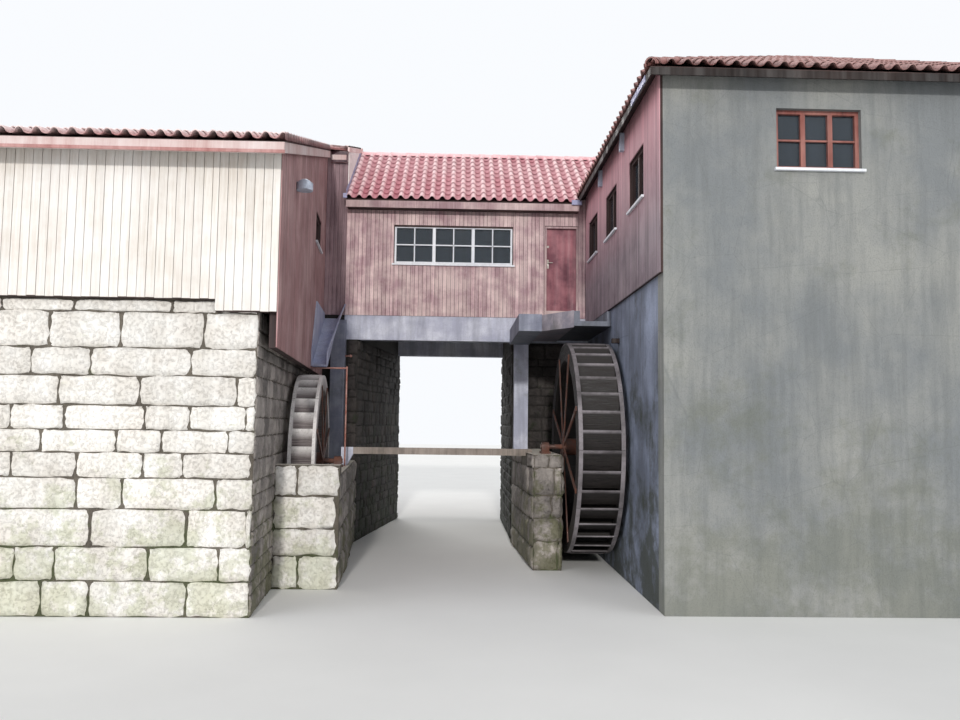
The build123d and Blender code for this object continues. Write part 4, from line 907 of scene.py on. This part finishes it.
def wingRoofPieces():
    r = wingRoof
    slope = tan(r["pitch"])
    half = (r["right"] - r["left"]) / 2
    middle = (r["right"] + r["left"]) / 2
    depth = r["back"] - r["front"]
    length = half / cos(r["pitch"])
    top = r["eaveTop"] + half * slope
    fall, climb = cos(r["pitch"]), sin(r["pitch"])

    def clear(centres):
        # nothing of the wing's slope hangs inside the bridge's room
        placed = centres - site
        return ~((placed[:, 0] < bridge["right"]) & (placed[:, 1] > -0.02) & (placed[:, 1] < bridge["back"] + 0.02))

    hip = lambda v: v * fall
    sides = []
    for start, across, rise, width in (
            ((r["left"], r["front"]), toRight, (0, fall, climb), 2 * half),
            ((r["right"], r["front"]), toBack, (-fall, 0, climb), depth),
            ((r["right"], r["back"]), toLeft, (0, -fall, climb), 2 * half),
            ((r["left"], r["back"]), toFront, (fall, 0, climb), depth)):
        sides.append(tileSlope(at(*start, r["eaveTop"]), across, rise, length, width, hip,
                               lambda v, width=width: width - v * fall, r, clear))
    ridgeLevel = top - cap["sunk"]
    ends = (r["front"] + half, r["back"] - half)
    caps = [capRow(at(middle, ends[0], ridgeLevel), at(middle, ends[1], ridgeLevel))]
    for eaveY, endY in ((r["front"], ends[0]), (r["back"], ends[1])):
        for eaveX in (r["left"], r["right"]):
            caps.append(capRow(at(eaveX, eaveY, r["eaveTop"] - cap["sunk"]), at(middle, endY, ridgeLevel)))
    tiles = roofPiece("right_roof_tiles", "shadedWingTiles", sides + caps)
    low, high = r["eaveTop"] - r["bed"], top - r["bed"]
    wall, inset = bridge["right"], bridge["right"] - r["left"]
    frontLeft, frontRight = at(r["left"], r["front"], low), at(r["right"], r["front"], low)
    backLeft, backRight = at(r["left"], r["back"], low), at(r["right"], r["back"], low)
    frontTop, backTop, wallTop = at(middle, ends[0], high), at(middle, ends[1], high), at(middle, 0, high)
    outlines = [
        [frontLeft, frontRight, frontTop, frontTop],
        [frontRight, backRight, backTop, frontTop],
        [backRight, backLeft, backTop, backTop],
        [at(r["left"], 0, low), frontLeft, frontTop, wallTop],
        [at(wall, r["back"] - inset, low + inset * slope), at(wall, 0, low + inset * slope), wallTop, backTop],
    ]
    boards = deck("right_roof_deck", outlines)
    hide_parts("right_roof")
    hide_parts("right_roof")


def leftRoofPieces():
    w, right = leftWing, bridge["left"]
    fall, climb = cos(w["pitch"]), sin(w["pitch"])
    roof = {"drop": tileDrop(w["bed"], w["pitch"]), "crest": 0.074}
    run = w["ridgeY"] - w["eaveY"]
    left = w["farX"] - 0.250

    def verge(v):
        # the splayed edge as far as the bridge, then the line of the bridge's own end
        depth = w["eaveY"] + v * fall
        return np.where(depth < -w["verge"], splayX(w["verge"], depth), right) - left

    ridgeTop = w["eaveTop"] + run * w["slope"]
    front = tileSlope(at(left, w["eaveY"], w["eaveTop"]), toRight, (0, fall, climb), run / fall, 5.6, flatValue(0),
                      verge, roof)
    backY = bridge["back"] + 0.300
    backRun = backY - w["ridgeY"]
    width = right - left
    back = tileSlope(at(right, backY, ridgeTop - backRun * w["slope"]), toLeft, (0, -fall, climb),
                     backRun / fall, width, flatValue(0), flatValue(width), roof)
    capLevel = ridgeTop - cap["leftSunk"]
    ridge = capRow(at(left, w["ridgeY"], capLevel), at(right, w["ridgeY"], capLevel))
    tiles = roofPiece("left_roof_tiles", "leftTiles", [front, back, ridge])
    corner = splayX(w["verge"], w["eaveY"])
    turn = splayX(w["verge"], -w["verge"])
    spots = [
        [(left, w["eaveY"]), (corner, w["eaveY"]), (turn, -w["verge"]), (left, -w["verge"])],
        [(left, -w["verge"]), (right, -w["verge"]), (right, w["ridgeY"]), (left, w["ridgeY"])],
        [(left, w["ridgeY"]), (right, w["ridgeY"]), (right, backY), (left, backY)],
    ]
    boards = deck("left_roof_deck", [[at(px, py, leftUnder(py)) for px, py in row] for row in spots])
    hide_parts("left_roof")
    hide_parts("left_roof")


bridgeRoofPieces()
wingRoofPieces()
leftRoofPieces()
print("watermill: roofs")


# Stone facings on the base walls, piers and abutments

masonry = {
    "base": {"course": (0.28, 0.56), "length": (0.50, 1.50), "gap": 0.012, "proud": (0.020, 0.060), "rough": 0.017},
    "slab": {"course": (0.44, 0.60), "length": (1.05, 1.60), "gap": 0.022, "proud": (0.025, 0.055), "rough": 0.026},
    "pier": {"course": (0.40, 0.62), "length": (0.56, 1.10), "gap": 0.020, "proud": (0.025, 0.055), "rough": 0.024},
    "rubble": {"course": (0.16, 0.34), "length": (0.22, 0.70), "gap": 0.010, "proud": (0.010, 0.036), "rough": 0.014},
}


pillow = {"steps": (-1.0, -0.94, -0.7, -0.25, 0.25, 0.7, 0.94, 1.0), "corners": 0.05, "fall": 10, "tilt": 0.3,
          "faceRough": 0.7, "edgeSunk": 0.006}


def pillowStones(corner, across, cells, proud, rough):
    # each stone is a grid of eight by eight points bent over like a pillow: its edge lies just behind the wall, its
    # face stands proud and falls off with a high power towards the edge, its corners are drawn in, and small
    # random shifts roughen it
    across, up = np.array(across, float), np.array((0, 0, 1), float)
    out = np.cross(across, up)
    left, right, low, high = np.asarray(cells, float).T
    count, n = len(left), len(pillow["steps"])
    s, t = np.meshgrid(pillow["steps"], pillow["steps"])
    edge = np.maximum(abs(s), abs(t))
    grid = np.stack([s * (1 - pillow["corners"] * t ** 4), t * (1 - pillow["corners"] * s ** 4)])
    half = np.stack([right - left, high - low]) / 2
    middle = np.stack([right + left, high + low]) / 2
    jog = chance.uniform(-rough, rough, (3, count, n, n))
    place = middle[:, :, None, None] + half[:, :, None, None] * grid[:, None] + jog[:2] * (edge > 0.8)
    tilt = chance.uniform(-pillow["tilt"], pillow["tilt"], (2, count, 1, 1))
    face = proud[:, None, None] * (1 - edge ** pillow["fall"]) * (1 + tilt[0] * s + tilt[1] * t)
    lift = face + jog[2] * pillow["faceRough"] * (edge < 0.9) - pillow["edgeSunk"] * (edge == 1)
    points = corner + place[0][..., None] * across + place[1][..., None] * up + lift[..., None] * out
    i, j = np.meshgrid(np.arange(n - 1), np.arange(n - 1))
    first = (j * n + i).ravel()
    shape = np.stack([first, first + 1, first + n + 1, first + n], 1)
    faces = np.arange(count)[:, None, None] * n * n + shape
    return points.reshape(-1, 3), faces.reshape(-1, 4), np.repeat(chance.random(count), n * n)


def stoneFace(kind, corner, across, start, stop, low, high, holes=()):
    m = masonry[kind]
    cells = stoneCells(start, stop, low, high, m["course"], m["length"], m["gap"], holes)
    return pillowStones(corner, across, cells, chance.uniform(*m["proud"], len(cells)), m["rough"])


def stonePiece(name, finish, parts):
    points, faces, tone = joined(parts)
    return meshPiece(name, points, faces, finish, "stone", smooth=True, tone=tone)


base = {"front": -7.680, "far": -7.500, "back": 4.880, "setBack": 0.280, "high": 4.600, "side": (0.125, 7.800),
        "sideHigh": 5.38, "axle": (4.35, 5.05, 1.70, 2.40)}
leftPier = {"front": -5.600, "out": 0.846, "high": 2.085, "side": (2.215, 7.815), "sideHigh": 1.925}
rightPier = {"left": 1.540, "right": 2.095, "front": -3.600, "back": 0.400, "high": 2.235,
             "beam": (1.95, 2.85, 2.0, 2.4)}
passage = {"left": -2.390, "leftBack": -1.720, "right": 1.370, "high": 4.80, "postX": -2.640, "postHigh": 1.93,
           "raceLeft": 1.730, "raceHigh": 2.24, "end": 3.165}


def leftStones():
    b, p, rear = base, leftPier, at(0, base["back"], 0)
    stonePiece("left_front_base_stones", "sunlitStone", [
        stoneFace("base", at(0, b["front"], 0), toRight, b["far"], splayX(-b["setBack"], b["front"]), 0.0, b["high"])])
    stonePiece("left_side_base_stones", "stone", [
        stoneFace("rubble", splayCorner - splayOut * b["setBack"], splayAcross, *b["side"], 0.0, b["sideHigh"],
                  [b["axle"]])])
    stonePiece("left_far_base_stones", "stone", [
        stoneFace("base", at(b["far"], 0, 0), toFront, -b["back"], -b["front"], 0.0, b["high"]),
        stoneFace("base", rear, toLeft, -leftWing["abutmentX"], -b["far"], 0.0, b["high"])])
    stonePiece("left_pier_stones", "sunlitStone", [
        stoneFace("slab", at(0, p["front"], 0), toRight, splayX(-b["setBack"], p["front"]),
                  splayX(p["out"], p["front"]), 0.0, p["high"])])
    stonePiece("left_pier_side_stones", "stone", [
        stoneFace("pier", splayCorner + splayOut * p["out"], splayAcross, *p["side"], 0.0, p["sideHigh"])])


def rightStones():
    p = rightPier
    turned = np.array([passage["right"] - p["left"], -p["front"], 0])
    length = float(np.linalg.norm(turned))
    stonePiece("right_pier_stones", "stone", [
        stoneFace("pier", at(0, p["front"], 0), toRight, p["left"], p["right"], 0.0, p["high"]),
        stoneFace("pier", at(passage["right"], 0, 0), -(turned / length), 0.0, length, 0.0, p["high"], [p["beam"]]),
        stoneFace("pier", at(p["right"], 0, 0), toBack, p["front"], p["back"], 0.0, p["high"])])


def passageStones():
    p, back, front = passage, bridge["back"], rightPier["back"]
    rear = at(0, back, 0)
    inner = np.array([p["leftBack"] - p["left"], back, 0])
    length = float(np.linalg.norm(inner))
    stonePiece("passage_stones", "passageShadeStone", [
        stoneFace("rubble", at(p["left"], 0, 0), inner / length, 0.0, length, 0.0, p["high"]),
        stoneFace("rubble", at(0, 0, 0), toRight, p["postX"], p["left"], p["postHigh"], p["high"]),
        stoneFace("rubble", at(p["right"], 0, 0), toFront, -back, -front, 0.0, p["high"]),
        stoneFace("rubble", at(0, front, 0), toRight, p["raceLeft"], p["end"], p["raceHigh"], p["high"]),
        stoneFace("rubble", rear, toLeft, -p["end"], -p["right"], 0.0, p["high"]),
        stoneFace("rubble", rear, toLeft, -p["leftBack"], -leftWing["abutmentX"], 0.0, p["high"])])


leftStones()
rightStones()
passageStones()
print("watermill: stones")


# Window bars, trims and small metalwork

def barsPiece(name, finish, slot, corner, across, cells):
    full = [(a, b, c, c, d, d) for a, b, c, d in cells]
    points, faces, tone = blocksOnWall(corner, across, (0, 0, 1), full, bars["deep"], bars["chamfer"])
    meshPiece(name, points, faces, finish, slot, tone=tone)


bars = {"width": 0.030, "deep": 0.034, "rim": 0.060, "mullion": 0.075, "casements": 3, "chamfer": 0.003}


def windowBars(left, right, low, high, split):
    # the bars inside each casement: an upright in its middle and a rail half way up
    rim, mullion, half, casements = bars["rim"], bars["mullion"], bars["width"] / 2, bars["casements"]
    bay = (right - left - 2 * rim - (casements - 1) * mullion) / casements
    cells = []
    for number in range(casements):
        start = left + rim + number * (bay + mullion)
        middle = start + bay / 2
        if split:
            cells.append((middle - half, middle + half, low + rim, high - rim))
        cells.append((start, start + bay, (low + high) / 2 - half, (low + high) / 2 + half))
    return cells


barsPiece("bridge_window_bars", "whitePaint", "white_paint", at(0, 0.075, 0), toRight,
          windowBars(*windows["bridge"], True))
barsPiece("bridge_back_window_bars", "whitePaint", "white_paint", at(0, 4.925, 0), toLeft,
          windowBars(*windows["bridgeBack"], True))
barsPiece("wing_window_bars", "redTrim", "trim", at(0, -7.265, 0), toRight, windowBars(*windows["wing"], False))
barsPiece("wing_back_window_bars", "redTrim", "trim", at(0, 4.865, 0), toLeft, windowBars(*windows["wingBack"], False))
barsPiece("wing_end_window_bars", "redTrim", "trim", at(10.090, 0, 0), toBack,
          [cell for window in windows["wingEnds"] for cell in windowBars(*window, False)])


def trimPiece(name, finish, spots):
    # each spot is a block between two corners on the site grid, with its edges drawn in a little on the front
    parts = []
    for low, high in spots:
        cells = [(low[0], high[0], low[2], low[2], high[2], high[2])]
        parts.append(blocksOnWall(at(0, high[1], 0), toRight, (0, 0, 1), cells, high[1] - low[1], 0.004))
    points, faces, tone = joined(parts)
    meshPiece(name, points, faces, finish, "trim", tone=tone)


fasciaEdge = {"low": 6.700, "front": -8.200, "band": 0.050, "proud": 0.008}
verge = splayX(leftWing["verge"], leftWing["eaveY"])
trimPiece("left_fascia_edge", "edgeTrim", [
    ((-7.870, fasciaEdge["front"] - fasciaEdge["proud"], fasciaEdge["low"]),
     (verge, fasciaEdge["front"] + 0.002, fasciaEdge["low"] + fasciaEdge["band"]))])
# a soffit board under the bridge's eave, made dark as painted shade
trimPiece("bridge_soffit_shade_board", "soffit", [((-2.700, -0.270, 7.999), (2.900, -0.020, 8.015))])
trimPiece("eave_end_flashings", "lead", [
    ((-2.800, -0.335, 8.205), (-2.700, -0.300, 8.320)),
    ((2.720, -0.350, 8.140), (2.960, -0.300, 8.260))])
boxTop = float(leftUnder(-0.100))
trimPiece("return_box_edges", "plumTrim", [
    ((-3.132, -0.108, boxTop - 0.085), (-2.735, -0.098, boxTop - 0.004)),
    ((-3.132, -0.108, boxTop - 0.275), (-2.735, -0.098, boxTop - 0.215)),
    ((-2.770, -0.108, boxTop - 0.215), (-2.735, -0.098, boxTop - 0.085))])


def slopedBoard(name, finish, corner, across, stations, under, tall, proud):
    # an upright board whose lower edge follows the roof's underside between the given stations
    cells = [(a, b, under(a) - 0.010, under(b) - 0.010, under(a) + tall, under(b) + tall)
             for a, b in zip(stations, stations[1:])]
    points, faces, tone = blocksOnWall(corner, across, (0, 0, 1), cells, proud, 0.004)
    meshPiece(name, points, faces, finish, "trim", tone=tone)


slopedBoard("left_roof_inner_verge", "rosyTrim", at(-2.742, 0, 0), toBack, (-0.100, 2.500, 5.300), leftUnder,
            0.105, 0.042)
slopedBoard("left_roof_outer_verge", "rosyTrim", at(-7.868, 0, 0), toFront, (-5.300, -2.500, 8.200),
            lambda s: leftUnder(-s), 0.135, 0.020)
slopedBoard("wing_corner_flashing", "lead", at(2.906, 0, 0), toFront, (6.300, 7.350), lambda s: 8.262, 0.100, 0.014)
trimPiece("wall_stub", "darkTrim", [((3.020, -3.980, 4.440), (3.165, -3.860, 4.530))])
# dark strips at the head and sides of the bridge window's frame: painted shadow of the reveal
trimPiece("bridge_window_shadow_lining", "soffit", [((-1.580, 0.010, 7.608), (1.325, 0.0345, 7.644)),
                                             ((-1.580, 0.010, 6.700), (-1.564, 0.0345, 7.608)),
                                             ((1.309, 0.010, 6.700), (1.325, 0.0345, 7.608))])
pitch = bridgeRoof["pitch"]
flashRise, flashUp = np.array([0, cos(pitch), sin(pitch)]), (0, -sin(pitch), cos(pitch))
flashCells = [(0.0, 3.20, 0.0, 0.0, 0.10, 0.12)]
points, faces, tone = blocksOnWall(at(-2.722, -0.280, 8.300 + 0.02), flashRise, flashUp, flashCells, 0.012, 0.002)
meshPiece("roof_verge_flashing", points, faces, "lead", "trim", tone=tone)
print("watermill: bars and trims")


# Finishes of the CAD nodes

nodesOf = {
    "concrete": ["bridge_beams", "right_post", "stream_beam_pad"],
    "floorBoards": ["bridge_floor", "right_floor", "left_floor"],
    "soffit": ["bridge_front_wall", "bridge_wall_over_door", "bridge_wall_beside_door", "bridge_back_wall",
               "bridge_roof", "right_side_board_wall", "right_roof", "left_front_board_wall",
               "left_side_board_wall", "left_rear_board_walls", "left_roof"],
    "pinkTrim": ["bridge_fascia", "door_frame"],
    "whitePaint": ["bridge_window_frames", "window_sills"],
    "glass": ["window_glass"],
    "iron": ["door_hinges", "wheel_bearings", "right_wheel_spider", "left_wheel_spider"],
    "doorPaint": ["door_leaf"],
    "brass": ["door_handle"],
    "plaster": ["right_front_wall", "right_back_wall", "right_end_wall"],
    "baseRender": ["right_side_base_wall"],
    "shadedReturnBoards": ["right_party_wall", "left_return_wall"],
    "darkTrim": ["right_fascia"],
    "wingFrames": ["wing_window_frames"],
    "mortar": ["left_front_base_wall", "left_side_base_wall", "left_rear_base_walls", "left_pier",
               "right_pier"],
    "rosyTrim": ["left_fascia"],
    "passageShadeMortar": ["left_abutment", "right_abutment"],
    "shadedConcrete": ["left_post", "cantilever_beam"],
    "paleBeam": ["stream_beam"],
    "pinkConcrete": ["landing_slab"],
    "launderConcrete": ["right_launder"],
    "skyTintFlumeWood": ["left_flume"],
    "rodIron": ["flume_rods"],
    "palePaint": ["lamps"],
    "rightWheelRims": ["right_wheel_rims"],
    "rightWheelBoards": ["right_wheel_sole", "right_wheel_buckets"],
    "leftWheelRims": ["left_wheel_rims"],
    "leftWheelBoards": ["left_wheel_sole", "left_wheel_buckets"],
}
wheels = {
    "right": {"centre": at(2.645, -2.900, 2.385), "turned": 0.0, "radius": 2.125},
    "left": {"centre": at(-2.927, -3.100, 2.050), "turned": leftWing["splay"], "radius": 1.720},
}
# painted light in the wheels' colours: the right wheel's near-black stands in for the shade of trees over it, and the
# left wheel's pale wood and wide pale rim stand in for full sun
shadedWheel = {"deep": (19, 16, 16), "base": (48, 42, 41), "pale": (140, 134, 138), "moss": (46, 48, 34),
             "joint": (12, 10, 10), "rimHighlightDepth": 0.022, "rimHighlightLow": 0.35}
sunlitWheel = {"deep": (84, 76, 76), "base": (148, 138, 138), "pale": (244, 240, 238), "moss": (84, 84, 66),
             "joint": (50, 46, 42), "rimHighlightDepth": 0.07, "rimHighlightLow": 0.7, "smooth": 0.6}
finishes["rightWheelBoards"] = wheelMaterial("right wheel boards", shadedWheel, wheels["right"])
finishes["rightWheelRims"] = wheelMaterial(
    "right wheel rims", {**shadedWheel, "rimHighlightDepth": 0.035, "segments": 12}, wheels["right"])
finishes["leftWheelBoards"] = wheelMaterial("left wheel boards", sunlitWheel, wheels["left"])
finishes["leftWheelRims"] = wheelMaterial(
    "left wheel rims", {**sunlitWheel, "rimHighlightDepth": 0.34, "segments": 8}, wheels["left"])
# the pale lavender-blue is painted light: the blue of the open sky on wood in shade
finishes["skyTintFlumeWood"] = woodMaterial("flume wood tinted by painted skylight", {
    "deep": (164, 172, 208), "base": (214, 220, 244), "pale": (244, 246, 253), "dirt": (130, 134, 160),
    "grain": 30.0, "paleShare": 0.45})
for finish, nodes in nodesOf.items():
    for node in nodes:
        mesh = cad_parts[node].data
        mesh.materials.clear()
        mesh.materials.append(finishes[finish])
print("watermill: finishes on the CAD nodes")


# Floor, lights and camera

def makeFloor():
    material, tree, shader = startMaterial("pale floor", **{"Roughness": 0.9, "Specular IOR Level": 0.2})
    patches = noise(tree, placeOf(tree), 0.7, 3.0)
    tree.links.new(blend(tree, patches, tint(232, 232, 230), tint(240, 240, 238)), shader.inputs["Base Color"])
    reach, level = 90.0, -0.002
    corners = [(-reach, -reach, level), (reach, -reach, level), (reach, reach, level), (-reach, reach, level)]
    mesh = bpy.data.meshes.new("floor")
    mesh.from_pydata(corners, [], [(0, 1, 2, 3)])
    mesh.materials.append(material)
    floor = bpy.data.objects.new("floor", mesh)
    bpy.context.scene.collection.objects.link(floor)


makeFloor()
makeLights()
makeCamera()
bpy.context.scene.view_settings.view_transform = "Standard"
print("watermill: done")
